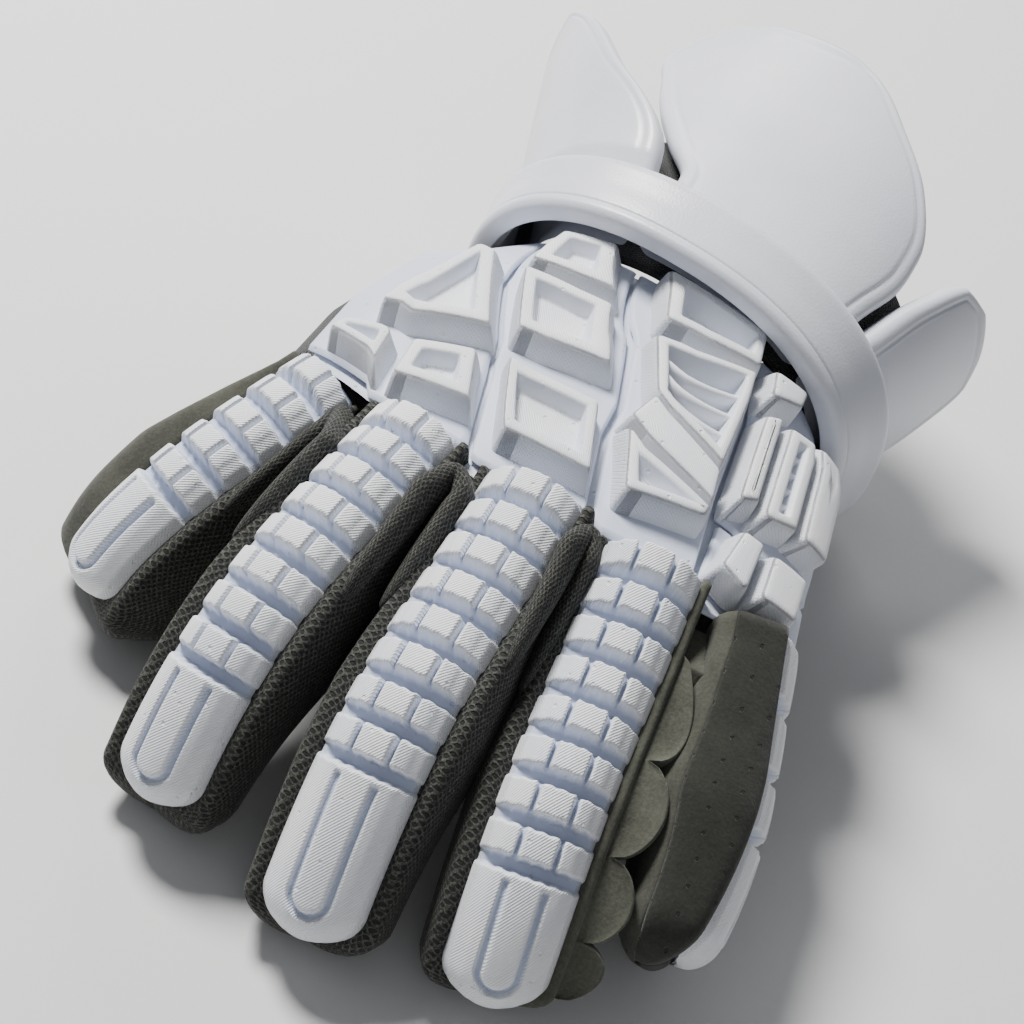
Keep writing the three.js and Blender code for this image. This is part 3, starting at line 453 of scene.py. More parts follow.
def knit():
    """Open spacer mesh: staggered dark cells between lighter yarns."""
    g = Graph("knit_mesh", (0.05, 0.05, 0.04), 0.85, Sheen_Weight=0.08, Sheen_Roughness=0.5)
    u, v = g.flat()
    shake = g.maths("MULTIPLY_ADD", g.noise(260, 2), 0.5, -0.25)
    across, along = g.wave(g.plus(u, shake), 1.7), g.wave(g.plus(v, shake), 2.4)
    cell = g.maths("ABSOLUTE", g.times(g.plus(across, along), 0.5))
    hole = g.ramp(cell, 0.22, 0.62)
    fibres = g.noise(1500, 2, 0.7)
    yarn = g.mix(g.ramp(fibres, 0.38, 0.66), (0.011, 0.0115, 0.009), (0.082, 0.085, 0.069))
    g.set("Base Color", g.mix(hole, yarn, (0.003, 0.003, 0.0025)))
    g.set("Normal", g.bump(g.plus(g.times(hole, -1.0), g.times(fibres, 0.35)), 0.0007))
    return g.made


def suede(name, colour, light, holes=0.0):
    """Napped leather: brushed patches, fibres, soft creases and, if asked, punched holes."""
    g = Graph(name, colour, 0.92, Sheen_Weight=0.14, Sheen_Roughness=0.6, Specular_IOR_Level=0.2)
    patches = g.ramp(g.noise(55, 4, 0.6), 0.32, 0.7)
    fibres = g.noise(1100, 3, 0.7)
    nap = g.ramp(fibres, 0.3, 0.72)
    base = g.mix(g.maths("MULTIPLY_ADD", nap, 0.45, g.times(patches, 0.5)), colour, light)
    creased = g.bump(g.noise(120, 3), 0.0005, g.bump(fibres, 0.00018))
    if holes:
        u, v = g.flat()
        lattice = g.times(g.plus(g.wave(u, holes), g.wave(v, holes)), 0.5)
        punched = g.ramp(lattice, 0.93, 0.96)
        base = g.mix(punched, base, (0.008, 0.008, 0.007))
        creased = g.bump(g.times(punched, -1.0), 0.0008, creased)
    g.set("Base Color", base)
    g.set("Normal", creased)
    return g.made


def lining():
    """Plain woven lining cloth."""
    g = Graph("lining_cloth", (0.03, 0.031, 0.03), 0.9, Sheen_Weight=0.2)
    u, v = g.flat()
    weave = g.maths("MAXIMUM", g.times(g.wave(u, 1.1), g.wave(v, 2.2)),
                    g.times(g.wave(u, 2.2), g.wave(v, 1.1)))
    lit = g.ramp(weave, -0.3, 0.9)
    g.set("Base Color", g.mix(lit, (0.016, 0.017, 0.017), (0.055, 0.057, 0.054)))
    g.set("Normal", g.bump(g.plus(weave, g.noise(900, 2)), 0.0002))
    return g.made


def thread(name, colour):
    g = Graph(name, colour, 0.6)
    twist = g.noise(2500, 2)
    g.set("Base Color", g.mix(g.ramp(twist, 0.3, 0.7), colour, tuple(c * 1.8 for c in colour)))
    g.set("Normal", g.bump(twist, 0.0001))
    return g.made


WHITE = moulded_white()
SATIN = satin_white()
KNIT = knit()
SUEDE = suede("olive_suede", (0.043, 0.045, 0.034), (0.105, 0.109, 0.085))
PALM = suede("dark_suede", (0.032, 0.033, 0.025), (0.078, 0.080, 0.063))
# The thumb's perforated suede is painted far darker than the olive suede: painted shade, as the
# thumb lies in shadow.
SHADED_PERFORATED = suede("shaded_perforated_suede", (0.011, 0.0115, 0.009), (0.030, 0.031, 0.025), holes=7.0)
LINING = lining()
DARK_THREAD = thread("dark_thread", (0.02, 0.02, 0.018))

# Pieces


def placed(name, data):
    """A new object in the scene."""
    made = bpy.data.objects.new(name, data)
    bpy.context.scene.collection.objects.link(made)
    return made


class Body:
    """Points, faces, flat coordinates and named values gathered for one piece, in millimetres."""

    def __init__(self):
        self.points, self.faces, self.uvs = [], [], []
        self.values = {"cavity": [], "side": [], "top": []}
        self.count = 0

    def add(self, points, faces, uv=None, **values):
        points = np.asarray(points, float).reshape(-1, 3)
        n = len(points)
        self.points.append(points)
        self.faces += [tuple(int(i) + self.count for i in face) for face in faces]
        self.uvs.append(np.zeros((n, 2)) if uv is None else np.asarray(uv, float).reshape(-1, 2))
        for key, held in self.values.items():
            held.append(np.broadcast_to(np.asarray(values.get(key, 0.0), float).reshape(-1), (n,)))
        self.count += n
        return self

    def make(self, name, finish, replaces=(), fill=None, thick=0.0):
        """The piece in metres: thick gives it a wall, fill is not used."""
        mesh = bpy.data.meshes.new(name)
        mesh.from_pydata(metres(np.vstack(self.points)).tolist(), [], self.faces)
        mesh.update()
        corner = np.zeros(len(mesh.loops), np.int32)
        mesh.loops.foreach_get("vertex_index", corner)
        layer = mesh.uv_layers.new(name="flat")
        layer.data.foreach_set("uv", np.vstack(self.uvs)[corner].astype(np.float32).ravel())
        for key, held in self.values.items():
            field = mesh.attributes.new(key, "FLOAT", "POINT")
            field.data.foreach_set("value", np.concatenate(held).astype(np.float32))
        mesh.polygons.foreach_set("use_smooth", [True] * len(mesh.polygons))
        mesh.materials.append(finish)
        piece = placed(name, mesh)
        if thick:
            shell = piece.modifiers.new("wall", "SOLIDIFY")
            shell.thickness, shell.offset = thick / 1000, -1
        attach(piece, "root")
        if replaces:
            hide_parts(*replaces)
        return piece


def grid_faces(rows, cols, loop=False):
    """Quads of a grid of rows x cols points. With loop the columns close on themselves."""
    spans = cols if loop else cols - 1
    i, j = np.meshgrid(np.arange(rows - 1), np.arange(spans), indexing="ij")
    k = (j + 1) % cols
    quads = np.stack([i * cols + j, i * cols + k, (i + 1) * cols + k, (i + 1) * cols + j], -1)
    return quads.reshape(-1, 4).tolist()


def tube_faces(rows, cols):
    """Quads round a tube and a polygon over each of its ends."""
    ends = [tuple(range(cols))[::-1], tuple((rows - 1) * cols + k for k in range(cols))]
    return grid_faces(rows, cols, loop=True) + ends


def flat_lengths(points):
    """Distances along each row of points, in millimetres."""
    steps = np.linalg.norm(np.diff(points, axis=1), axis=2)
    return np.concatenate([np.zeros((len(points), 1)), np.cumsum(steps, axis=1)], axis=1)


# Finger guards

# Heights over the ridge's line from a block's middle outwards, before the lower edge
BLOCK_LEVELS = [0.25, 0.15, -0.1, -0.8, -2.0, -5.0, -8.6]
GROOVE_LEVELS = [-5.2, -5.2, -5.3, -5.8, -6.4, -7.6, -9.6]
NOTCH_AT = 0.15  # where the notches begin, as a share of the width
NOTCH_WIDTH = 1.6


def tip_shape(s, length):
    """How narrow a section is and how far it sinks towards the rounded end of a cap."""
    t = clamp((s - (length - CAP_ROUND)) / CAP_ROUND) * 0.985
    arc = np.sqrt(1 - t * t)
    return 0.12 + 0.88 * arc, (1 - arc) * GUARD * 0.62


def guard_body(name):
    """A guard as a fine skin: rounded blocks, grooves, notches and the cap's U-shaped groove."""
    f, line = FINGERS[name], LINES[name]
    length = line.length
    half, under = f["width"] / 2, -GUARD * f["thick"]
    block = (f["pitch"] - ROW_GROOVE) / 2
    cap_start = line.run + block + ROW_GROOVE
    groove_end = length - CAP_ROUND * 0.65
    round_start = groove_end - CAP_TONGUE - CAP_GROOVE
    s = np.concatenate([
        np.arange(CLEARANCE - MOUTH_BACK, length - CAP_ROUND, GUARD_STEP),
        length - CAP_ROUND * (1 - np.sin(np.linspace(0, math.pi / 2, 26)))])
    inner = f["width"] * NOTCH_AT
    outer = inner + NOTCH_WIDTH
    keys = np.array([0.0, 0.5 * inner, inner, outer, half * 0.62, half * 0.87, half, half * 0.97])
    block_n = np.append(np.maximum(BLOCK_LEVELS, under + SKIRT), under)
    groove_n = np.append(np.maximum(GROOVE_LEVELS, under + SKIRT), under)
    knots = np.concatenate([[0], np.cumsum(np.hypot(np.diff(keys), np.diff(block_n)))])
    t = np.linspace(0, knots[-1], SIDE_SPLITS)
    soften = np.ones(3) / 3

    def both(levels, sign=1):
        """A row of levels at both sides of the ridge, eased at its corners."""
        even = np.interp(t, knots, levels)
        eased = np.concatenate([even[:1], np.convolve(even, soften, "valid"), even[-1:]])
        return np.concatenate([sign * eased[::-1], eased[1:]])

    b, tops, lows = both(keys, -1), both(block_n), both(groove_n)
    arc = np.concatenate([-t[::-1], t[1:]])
    row = np.clip(np.round(s / f["pitch"]), 0, f["rows"] - 1)
    inside = block - np.abs(s - row * f["pitch"])
    inside = np.where(s > cap_start - 0.6, np.maximum(inside, s - cap_start), inside)
    wobble = 0.16 * np.sin(b * 1.9 + row[:, None] * 2.1)
    rise = clamp((inside[:, None] + 0.4 + wobble) / 1.25)
    high = 1 - (1 - rise) ** 2.4
    narrow, sink = tip_shape(s, length)
    capped = smooth(s, cap_start - 1.5, cap_start)[:, None]
    centre = (inner + outer) / 2
    wide = b * narrow[:, None]
    notch = NOTCH_DEPTH * np.exp(-((np.abs(b) - centre) / 0.62) ** 4) * (1 - capped) * high
    lane = CAP_TONGUE + CAP_GROOVE / 2
    ahead = np.maximum(s - round_start, 0)[:, None]
    off = np.abs(np.hypot(wide, ahead) - lane)
    start = smooth(s, cap_start + 1.6, cap_start + 2.6)[:, None]
    trench = CAP_GROOVE_DEPTH * np.exp(-(off / (CAP_GROOVE * 0.5)) ** 4) * capped * start
    dome = DOME * np.cos(np.pi * (s - row * f["pitch"]) / f["pitch"])[:, None]
    crowned = dome * (1 - capped) * high * (tops > -3)
    n = blend(lows, tops, high) - notch - trench + crowned
    falling = clamp(-tops / GUARD)
    n = n - sink[:, None] * (1 - falling * 0.85)
    n = np.maximum(n, under + 0.1)
    flat = np.stack([wide, n], -1)
    low_edge = np.linspace(1, -1, BASE_POINTS + 2)[1:-1]
    base = np.stack([low_edge * half * 0.97 * narrow[:, None],
                     np.broadcast_to((under + sink * 0.15)[:, None], (len(s), BASE_POINTS))], -1)
    flat = np.concatenate([flat, base], axis=1)
    points = line.place(s, flat)
    rows, cols = points.shape[:2]
    pad = lambda values: np.concatenate([values, np.zeros((rows, BASE_POINTS))], axis=1)
    arcs = np.broadcast_to(arc, (rows, len(b)))
    uv = np.stack([pad(arcs), np.broadcast_to(s[:, None], (rows, cols))], -1)
    wall = smooth(np.abs(arcs), knots[5] - 0.4, knots[5] + 0.6)
    # Painted shade in the grooves between rows, the notches and the cap's groove, lighter on the
    # side walls.
    cavity = clamp((1 - high) + notch / NOTCH_DEPTH + trench / CAP_GROOVE_DEPTH)
    return Body().add(points, tube_faces(rows, cols), uv, cavity=pad(cavity * (1 - wall * 0.6)),
                      side=pad(wall), top=pad((1 - wall) * high))


for name in FINGERS:
    guard_body(name).make(f"{name}_guard_shell", WHITE, [f"{name}_guard"])

# Finger skins

SPAN_POINTS = 7  # points on each span of a finger's outline


def stall_outline(name, s, side):
    """Half of a finger's section, from under the guard round its side to the middle underneath."""
    f, length = FINGERS[name], LINES[name].length
    past = STALL_PAST * f["past"]
    t = clamp((s - (length + past - STALL_ROUND)) / STALL_ROUND) * 0.995
    arc = math.sqrt(1 - t * t)
    slim = blend(1, f["tip"], clamp(max(s / length - 0.5, 0) * 2))
    depth = f["depth"] * blend(f["root"], 1, clamp(s / 30)) * slim
    spread = blend(ROOT_STAND, 1, clamp(max(s / length, 0) * 2))
    stand = STALL_SIDE * (f["radial"] if side > 0 else f["ulnar"]) * spread * slim
    narrow, sink = tip_shape(min(s, length), length)
    bed = STALL_GAP if s > length else (f["width"] / 2) * narrow + 0.1
    trunk = (f["width"] / 2 + STALL_GAP) * arc
    thickness = GUARD * f["thick"]
    middle = -(thickness + depth) / 2
    squeeze = lambda n: middle + (n - middle) * arc
    shoulder = squeeze(-STALL_SHOULDER)
    floor = min(-thickness - STALL_GAP + sink * 0.15, shoulder - 0.8)
    point = lambda out, down: (trunk + stand * out * arc, squeeze(down))
    spots = [(bed, floor), (bed, shoulder - 0.6), point(0.55, -STALL_SHOULDER),
             point(1, -max(depth * 0.42, thickness + STALL_WALL)), point(0.95, -depth * 0.68),
             point(0.45, -depth * SEAM_DROP),
             (max(trunk - f["width"] * 0.14, 0.02), squeeze(-depth)), (0.0, squeeze(-depth))]
    line = np.vstack([[spots[0]], curve(spots[1:], SPAN_POINTS)])
    line[:, 0] *= side
    return line


SEAM_AT = 1 + 4 * SPAN_POINTS  # the point of an outline where the side's skin meets the underside's


def stall_sections(name):
    line = LINES[name]
    end = line.length + STALL_PAST * FINGERS[name]["past"]
    s = np.concatenate([np.arange(-MOUTH_BACK, end - STALL_ROUND, 2.0),
                        end - STALL_ROUND * (1 - np.sin(np.linspace(0, math.pi / 2, 16)))])
    halves = {side: np.array([stall_outline(name, v, side) for v in s]) for side in (-1, 1)}
    return s, halves


def add_skin(name, s, flat, label, look, replaces=()):
    points = LINES[name].place(s, flat)
    run = flat_lengths(points)
    uv = np.stack([run, np.broadcast_to(s[:, None], run.shape)], -1)
    skin = Body().add(points, grid_faces(*run.shape), uv)
    skin.make(f"{name}_{label}", look, replaces, thick=SKIN_THICKNESS)


# The two outer fingers have suede on their outer side, and the thumb is suede all round
SKIN_LOOKS = {"index": (KNIT, SUEDE), "pinky": (PALM, KNIT), "thumb": (SHADED_PERFORATED, SHADED_PERFORATED)}


def finger_skin(name):
    s, halves = stall_sections(name)
    left_look, right_look = SKIN_LOOKS.get(name, (KNIT, KNIT))
    add_skin(name, s, halves[-1][:, SEAM_AT::-1], "skin", left_look, [f"{name}_gusset"])
    add_skin(name, s, halves[1][:, : SEAM_AT + 1], "skin_thumbward", right_look)
    under = np.concatenate([halves[1][:, SEAM_AT:], halves[-1][:, -2 : SEAM_AT - 1 : -1]], axis=1)
    add_skin(name, s, under, "under", PALM, [f"{name}_palm"])


for name in FINGERS:
    finger_skin(name)

# Arches of mesh between neighbouring fingers

ARCHES = [("index", 3, "middle", 6), ("middle", 5, "ring", 12), ("ring", 13, "pinky", 3)]
ARCH_RUNS = [40, 28, 17, 8, 1]
ARCH_HALF = 3.4
ARCH_TALL = 6.5
ARCH_DEPTH = 9.2  # from the fingers' ridges down to the strip
ARCH_STAND, ARCH_SPREAD = 1.9, 0.055  # off a guard's side, and more with each millimetre ahead
ARCH_TOP = np.array([0, 7.0, -0.2])  # from the middle between both legs to the crotch


def arch(first, first_start, second, second_start):
    """A padded strip of mesh that runs up one finger's side, round the crotch and down the next."""

    def leg(name, start, side):
        s = np.array(ARCH_RUNS, float) + start
        f = FINGERS[name]
        stand = f["width"] / 2 + ARCH_STAND + ARCH_SPREAD * np.array(ARCH_RUNS)
        flat = np.stack([side * stand, np.full(len(s), -ARCH_DEPTH)], -1)[:, None, :]
        point = LINES[name].place(s, flat)[:, 0]
        return point, LINES[name].frames(s)[2]

    a, out_a = leg(first, first_start, -1)
    b, out_b = leg(second, second_start, 1)
    top = (a[-1] + b[-1]) / 2 + ARCH_TOP
    spots = curve(np.vstack([a, top, b[::-1]]), 9)
    outs = unit(curve(np.vstack([out_a, (out_a[-1] + out_b[-1]) / 2, out_b[::-1]]), 9))
    ahead = unit(np.gradient(spots, axis=0))
    aside = unit(np.cross(ahead, outs))
    ends = np.sin(np.linspace(0, math.pi, len(spots))) ** 0.35
    turn = np.linspace(0, 2 * math.pi, 28, endpoint=False)
    across = (np.cos(turn) * ARCH_HALF)[:, None] * ends[:, None, None]
    tall = (np.sin(turn) * ARCH_TALL)[:, None] * ends[:, None, None]
    ring = spots[:, None] + aside[:, None] * across + outs[:, None] * tall
    along = flat_lengths(spots[None])[0]
    uv = np.stack(np.broadcast_arrays(turn * 5, along[:, None]), -1)
    Body().add(ring, tube_faces(*ring.shape[:2]), uv).make(f"{first}_{second}_arch", KNIT)


for pair in ARCHES:
    arch(*pair)

# Back plates


def inset(flat, distance):
    """A polygon with every edge moved in by the same distance."""
    before, after = np.roll(flat, 1, axis=0), np.roll(flat, -1, axis=0)
    area = 0.5 * np.sum(flat[:, 0] * after[:, 1] - after[:, 0] * flat[:, 1])
    normal = lambda a, b: unit(np.stack([(a - b)[:, 1], (b - a)[:, 0]], -1))
    first, second = normal(before, flat), normal(flat, after)
    both = first + second
    spread = 1 + np.sum(first * second, axis=1, keepdims=True)
    return flat + both * distance * math.copysign(1, area) / spread


def softened(flat, radius, steps=4, split=6):
    """The polygon as a closed loop with rounded corners and finely divided edges."""
    out, cuts, count = [], [], len(flat)
    for i in range(count):
        a, p, b = flat[i - 1], flat[i], flat[(i + 1) % count]
        la, lb = np.linalg.norm(a - p), np.linalg.norm(b - p)
        cut = min(radius, la * 0.35, lb * 0.35)
        cuts.append((p + (a - p) / la * cut, p, p + (b - p) / lb * cut))
    for i in range(count):
        start, p, end = cuts[i]
        for k in range(steps + 1):
            t = k / steps
            out.append((1 - t) ** 2 * start + 2 * t * (1 - t) * p + t * t * end)
        following = cuts[(i + 1) % count][0]
        out += [blend(end, following, k / split) for k in range(1, split)]
    return np.array(out)


class Patch:
    """A polygon of shares of the hand's surface, laid flat in millimetres about its middle."""

    def __init__(self, corners):
        corners = np.array(corners, float)
        self.middle = corners.mean(axis=0)
        u, v = self.middle
        here, step = hand_point(90 * u, v, 0), 0.01
        self.scale = np.array([np.linalg.norm(here - hand_point(90 * (u + a), v + b, 0)) / step
                               for a, b in ((step, 0), (0, step))])
        self.flat = (corners - self.middle) * self.scale

    def lift(self, spots, height):
        shares = spots / self.scale + self.middle
        return hand_point(90 * shares[:, 0], shares[:, 1], height)


# How far each kind of surface is a side wall, a top and darkened with painted shade as in a hollow,
# from 0 to 1
KINDS = {"wall": (1, 0, 0.12), "rim": (0, 1, 0), "inner": (0, 0, 0.3), "floor": (0, 1, 0.06)}


def add_stack(body, ground, levels):
    """A loft over inset copies of a patch. A level is distance, height, corner radius and kind."""
    rings, uvs = [], []
    for distance, height, radius, kind in levels:
        spots = softened(inset(ground.flat, distance), radius)
        rings.append(ground.lift(spots, height))
        if kind == "wall":
            steps = np.linalg.norm(np.roll(spots, -1, axis=0) - spots, axis=1)
            run = np.concatenate([[0], np.cumsum(steps)[:-1]])
            uvs.append(np.stack([run, np.full(len(run), height)], -1))
        else:
            uvs.append(spots)
    rows, cols = len(rings), len(rings[0])
    middles = [inset(ground.flat, levels[-1][0]).mean(axis=0), ground.flat.mean(axis=0)]
    caps = ground.lift(np.array(middles), [levels[-1][1], levels[0][1]])
    points = np.vstack([*rings, caps])
    faces = grid_faces(rows, cols, loop=True)
    tip, sole = rows * cols, rows * cols + 1
    faces += [((rows - 1) * cols + k, (rows - 1) * cols + (k + 1) % cols, tip) for k in range(cols)]
    faces += [((k + 1) % cols, k, sole) for k in range(cols)]
    uv = np.vstack([*uvs, middles])
    values = np.repeat([KINDS[level[3]] for level in levels], cols, axis=0)
    values = np.vstack([values, KINDS["floor"], (0, 0, 0)]).T
    body.add(points, faces, uv, **dict(zip(("side", "top", "cavity"), values)))


SLAT_POINTS = 11
SLAT_HEIGHT = 0.82  # of a slat, as a share of the rim's height


def add_tray(body, corners, frame=1.0, solid=False, deep=False, slats=0, bow=0.0):
    ground = Patch(corners)
    h = PLATE_HEIGHT
    outer = [(-WALL_SLOPE, SHEET * 0.5, 1.5, "wall"), (-WALL_SLOPE, SHEET * 0.5 + 0.4, 1.5, "wall"),
             (-0.75, h - 2.0, 1.3, "wall"), (-0.3, h - 0.8, 1.2, "wall"),
             (0.12, h - 0.28, 1.1, "rim"), (0.7, h - 0.03, 1.0, "rim")]
    if solid:
        add_stack(body, ground, outer + [(1.6, h, 0.8, "rim"), (2.4, h + 0.05, 0.6, "rim")])
        return
    edge = frame * FRAME_WIDTH
    floor = SHEET + CLEARANCE if deep else TRAY_FLOOR
    inner = [(edge - 0.5, h, 0.9, "rim"), (edge, h - 0.18, 0.9, "rim"),
             (edge + 0.3, h - 0.7, 0.9, "inner"), (edge + 1.15, floor + 0.7, 0.8, "inner"),
             (edge + 1.6, floor + 0.12, 0.7, "floor"), (edge + 2.1, floor, 0.6, "floor")]
    add_stack(body, ground, outer + inner)
    for i in range(slats):
        share = (i + 1) / (slats + 1)
        a, b, c, d = inset(ground.flat, edge * 0.5)
        start, end = blend(a, b, share), blend(d, c, share)
        aside = unit(np.array([-(end - start)[1], (end - start)[0]]))
        at = np.linspace(0, 1, SLAT_POINTS)[:, None]
        line = blend(start, end, at) + aside * bow * 4 * at * (1 - at)
        add_bar(body, ground, line, floor - CLEARANCE, h * SLAT_HEIGHT)


def add_bar(body, ground, line, low, high):
    """A rounded bar along a line of flat spots."""
    ahead = unit(np.gradient(line, axis=0))
    aside = np.stack([-ahead[:, 1], ahead[:, 0]], -1)
    profile = [(-1.15, low), (-1.0, high - 1.0), (-0.75, high - 0.3), (-0.3, high), (0.3, high),
               (0.75, high - 0.3), (1.0, high - 1.0), (1.15, low)]
    rings = np.stack([ground.lift(line + aside * off, height) for off, height in profile], axis=1)
    # The slats get a little painted shade.
    body.add(rings, tube_faces(*rings.shape[:2]), cavity=0.1)


def hand_sheet(rows, low, high, across, along, edge=0.9):
    """The two faces of a sheet on the hand between two edges, with rounded borders."""
    stations, *sides = zip(*rows)
    v = np.linspace(stations[0], stations[-1], along + 1)
    start, stop = (np.interp(v, stations, side)[:, None] for side in sides)
    u = blend(start, stop, np.linspace(0, 1, across + 1))
    vv = np.broadcast_to(v[:, None], u.shape)
    middle = (low + high) / 2
    surface = hand_point(90 * u, vv, high)
    run = flat_lengths(surface)
    length = np.linalg.norm(np.diff(surface, axis=0), axis=2).mean() * along
    from_side = np.minimum(run, run[:, -1:] - run)
    ahead = np.linspace(0, 1, along + 1)
    from_end = (np.minimum(ahead, ahead[::-1]) * length)[:, None]
    near = clamp(np.minimum(from_side, from_end) / edge)
    lifted = middle + (high - middle) * np.sqrt(1 - (1 - near) ** 2) ** 0.7
    upper = hand_point(90 * u, vv, lifted)
    lower = hand_point(90 * u, vv, 2 * middle - lifted)
    uv = np.stack([run, np.broadcast_to((v * BACK_LENGTH)[:, None], run.shape)], -1)
    return upper, lower, uv


def sheet_body(upper, lower, uv, **values):
    rows, cols = upper.shape[:2]
    faces = grid_faces(rows, cols)
    back = [tuple(reversed([i + rows * cols for i in face])) for face in faces]
    return Body().add(np.stack([upper, lower]), faces + back, np.stack([uv, uv]), **values)


def tray(*corners, **options):
    """A tray's corners, as shares of the hand's surface, and what add_tray makes of them."""
    return corners, options


PLATES = {
    "back_plate_ulnar": dict(
        sheet=[(0.01, -0.62, -0.076), (0.3, -0.62, -0.136), (0.43, -0.61, -0.172),
               (0.69, -0.60, -0.296), (0.96, -0.62, -0.476)],
        trays=[tray((-0.43, 0.258), (-0.37, 0.68), (-0.318, 0.67), (-0.179, 0.378)),
               tray((-0.506, 0.05), (-0.482, 0.11), (-0.352, 0.166), (-0.341, 0.05), frame=0.7),
               tray((-0.278, 0.05), (-0.287, 0.193), (-0.161, 0.261), (-0.115, 0.093))]),
    "back_plate_centre": dict(
        sheet=[(0.0, -0.064, 0.124), (0.3, -0.124, 0.076), (0.43, -0.160, 0.066),
               (0.69, -0.284, 0.004), (0.96, -0.464, -0.106)],
        trays=[tray((-0.245, 0.715), (-0.315, 0.90), (-0.165, 0.93), (-0.060, 0.755)),
               tray((-0.128, 0.427), (-0.221, 0.660), (-0.032, 0.685), (0.020, 0.478)),
               tray((-0.034, 0.076), (-0.096, 0.302), (0.048, 0.318), (0.094, 0.083))]),
    "back_plate_radial": dict(
        sheet=[(0.01, 0.136, 0.375), (0.3, 0.088, 0.360), (0.43, 0.078, 0.350),
               (0.69, 0.016, 0.330), (0.96, -0.094, 0.312)],
        trays=[tray((0.046, 0.755), (-0.010, 0.94), (0.284, 0.94), (0.298, 0.812), frame=0.8,
                    deep=True),
               tray((0.121, 0.480), (0.054, 0.670), (0.296, 0.770), (0.320, 0.385), frame=0.7,
                    deep=True, slats=3, bow=-2.4),
               tray((0.110, 0.345), (0.125, 0.455), (0.325, 0.345), (0.335, 0.235), solid=True),
               tray((0.166, 0.115), (0.120, 0.290), (0.335, 0.200), (0.330, 0.165), frame=0.8)]),
    "back_plate_side": dict(
        sheet=[(0.27, 0.374, 0.84), (0.43, 0.362, 0.86), (0.69, 0.342, 0.84), (0.94, 0.325, 0.74)],
        trays=[tray((0.366, 0.745), (0.358, 0.84), (0.485, 0.87), (0.470, 0.80), solid=True),
               tray((0.400, 0.31), (0.368, 0.65), (0.410, 0.68), (0.442, 0.34), solid=True),
               tray((0.480, 0.33), (0.450, 0.68), (0.550, 0.72), (0.580, 0.37), frame=0.8, slats=4),
               tray((0.625, 0.37), (0.590, 0.74), (0.700, 0.76), (0.730, 0.38), solid=True)]),
    "thumb_base_plate": dict(
        sheet=[(0.03, 0.387, 0.82), (0.25, 0.387, 0.84)],
        trays=[tray((0.415, 0.045), (0.440, 0.205), (0.500, 0.225), (0.490, 0.045), solid=True),
               tray((0.540, 0.045), (0.545, 0.215), (0.670, 0.220), (0.660, 0.045), solid=True)]),
}

for name, plate in PLATES.items():
    # The plates' sheet between the trays is darkened with painted shade.
    body = sheet_body(*hand_sheet(plate["sheet"], 0, SHEET, 60, 90), cavity=0.75)
    for corners, options in plate["trays"]:
        add_tray(body, corners, **options)
    body.make(f"{name}_shell", WHITE, [name])

# One thin white sheet joins the plates from below. Its rows are station and both edges.
BASE_ROWS = [(-0.05, -0.60, 0.40), (0.015, -0.62, 0.66), (0.3, -0.615, 0.80), (0.69, -0.60, 0.80),
             (0.965, -0.60, 0.72)]
BASE_LOW, BASE_HIGH = -1.7, -0.35
# The base sheet is darkened with painted shade.
base = sheet_body(*hand_sheet(BASE_ROWS, BASE_LOW, BASE_HIGH, 120, 60), cavity=0.55)
base.make("back_base_sheet", WHITE)

# Liner and palm of the hand

SEAM_TURN = 0.98  # where liner and palm meet, as a share of a quarter turn from the top
PALM_FROM = SEAM_TURN + 0.06

for name, start, stop, look in (
        ("back_liner", -SEAM_TURN, SEAM_TURN, LINING), ("palm", PALM_FROM, 4 - PALM_FROM, PALM)):
    rows = [(LINER_BACK, start, stop), (1.0, start, stop)]
    body = sheet_body(*hand_sheet(rows, -LINER_GAP - HAND_WALL, -LINER_GAP, 140, 40))
    body.make(f"{name}_cloth", look, [name])

# Suede pad along the index finger

LOBES = [0.14, 0.37, 0.60, 0.80, 0.95]  # shares of the finger's length at the seams and both ends
LOBE_ROWS = 26
PAD_BELLY = ([0, 0.08, 0.3, 0.55, 0.8, 1], [0.55, 0.95, 1, 0.62, 0.3, 0])


def pad_section(value):
    """The pad's section at a share of the finger's length: its inner and its outer face."""
    k = min(int(np.searchsorted(LOBES, value, side="right")) - 1, len(LOBES) - 2)
    within = (value - LOBES[k]) / (LOBES[k + 1] - LOBES[k])
    bulge = max(math.sin(math.pi * within), 0.0) ** 0.5
    fill = blend(0.45, 1, clamp((value - LOBES[0]) * 5)) * blend(1, 0.7, clamp((value - 0.8) * 6))
    skin = stall_outline("index", value * LINES["index"].length, 1)[2 : SEAM_AT + 1]
    skin = skin + np.array([CLEARANCE * 1.2, 0])
    share = np.linspace(0, 1, len(skin))
    belly = monotone(*PAD_BELLY, share)
    out = (PAD_THICKNESS + PAD_BULGE * bulge) * belly * fill
    return skin, skin + np.stack([out, 0.6 * belly * bulge], -1)


def side_pad():
    """The scalloped suede pad on the index finger's outer side, with a sewn seam between lobes."""
    line = LINES["index"]
    share = np.concatenate([np.linspace(a, b, LOBE_ROWS, endpoint=False)
                            for a, b in zip(LOBES, LOBES[1:])] + [LOBES[-1:]])
    sections = map(pad_section, share)
    flat = np.array([np.concatenate([skin, thick[::-1]]) for skin, thick in sections])
    points = line.place(share * line.length, flat)
    pad = Body().add(points, tube_faces(*points.shape[:2]))
    pad.make("index_side_pad_suede", SUEDE, ["index_side_pad"], fill=0.7)
    for k, value in enumerate(LOBES[1:-1]):
        thick = pad_section(value)[1][2:-3] + np.array([0.15, 0])
        path = line.place(np.full(len(thick), value * line.length), thick[:, None, :])[:, 0]
        stitches(f"pad_seam_{k + 1}", path, path - line.points[len(line.s) // 2])


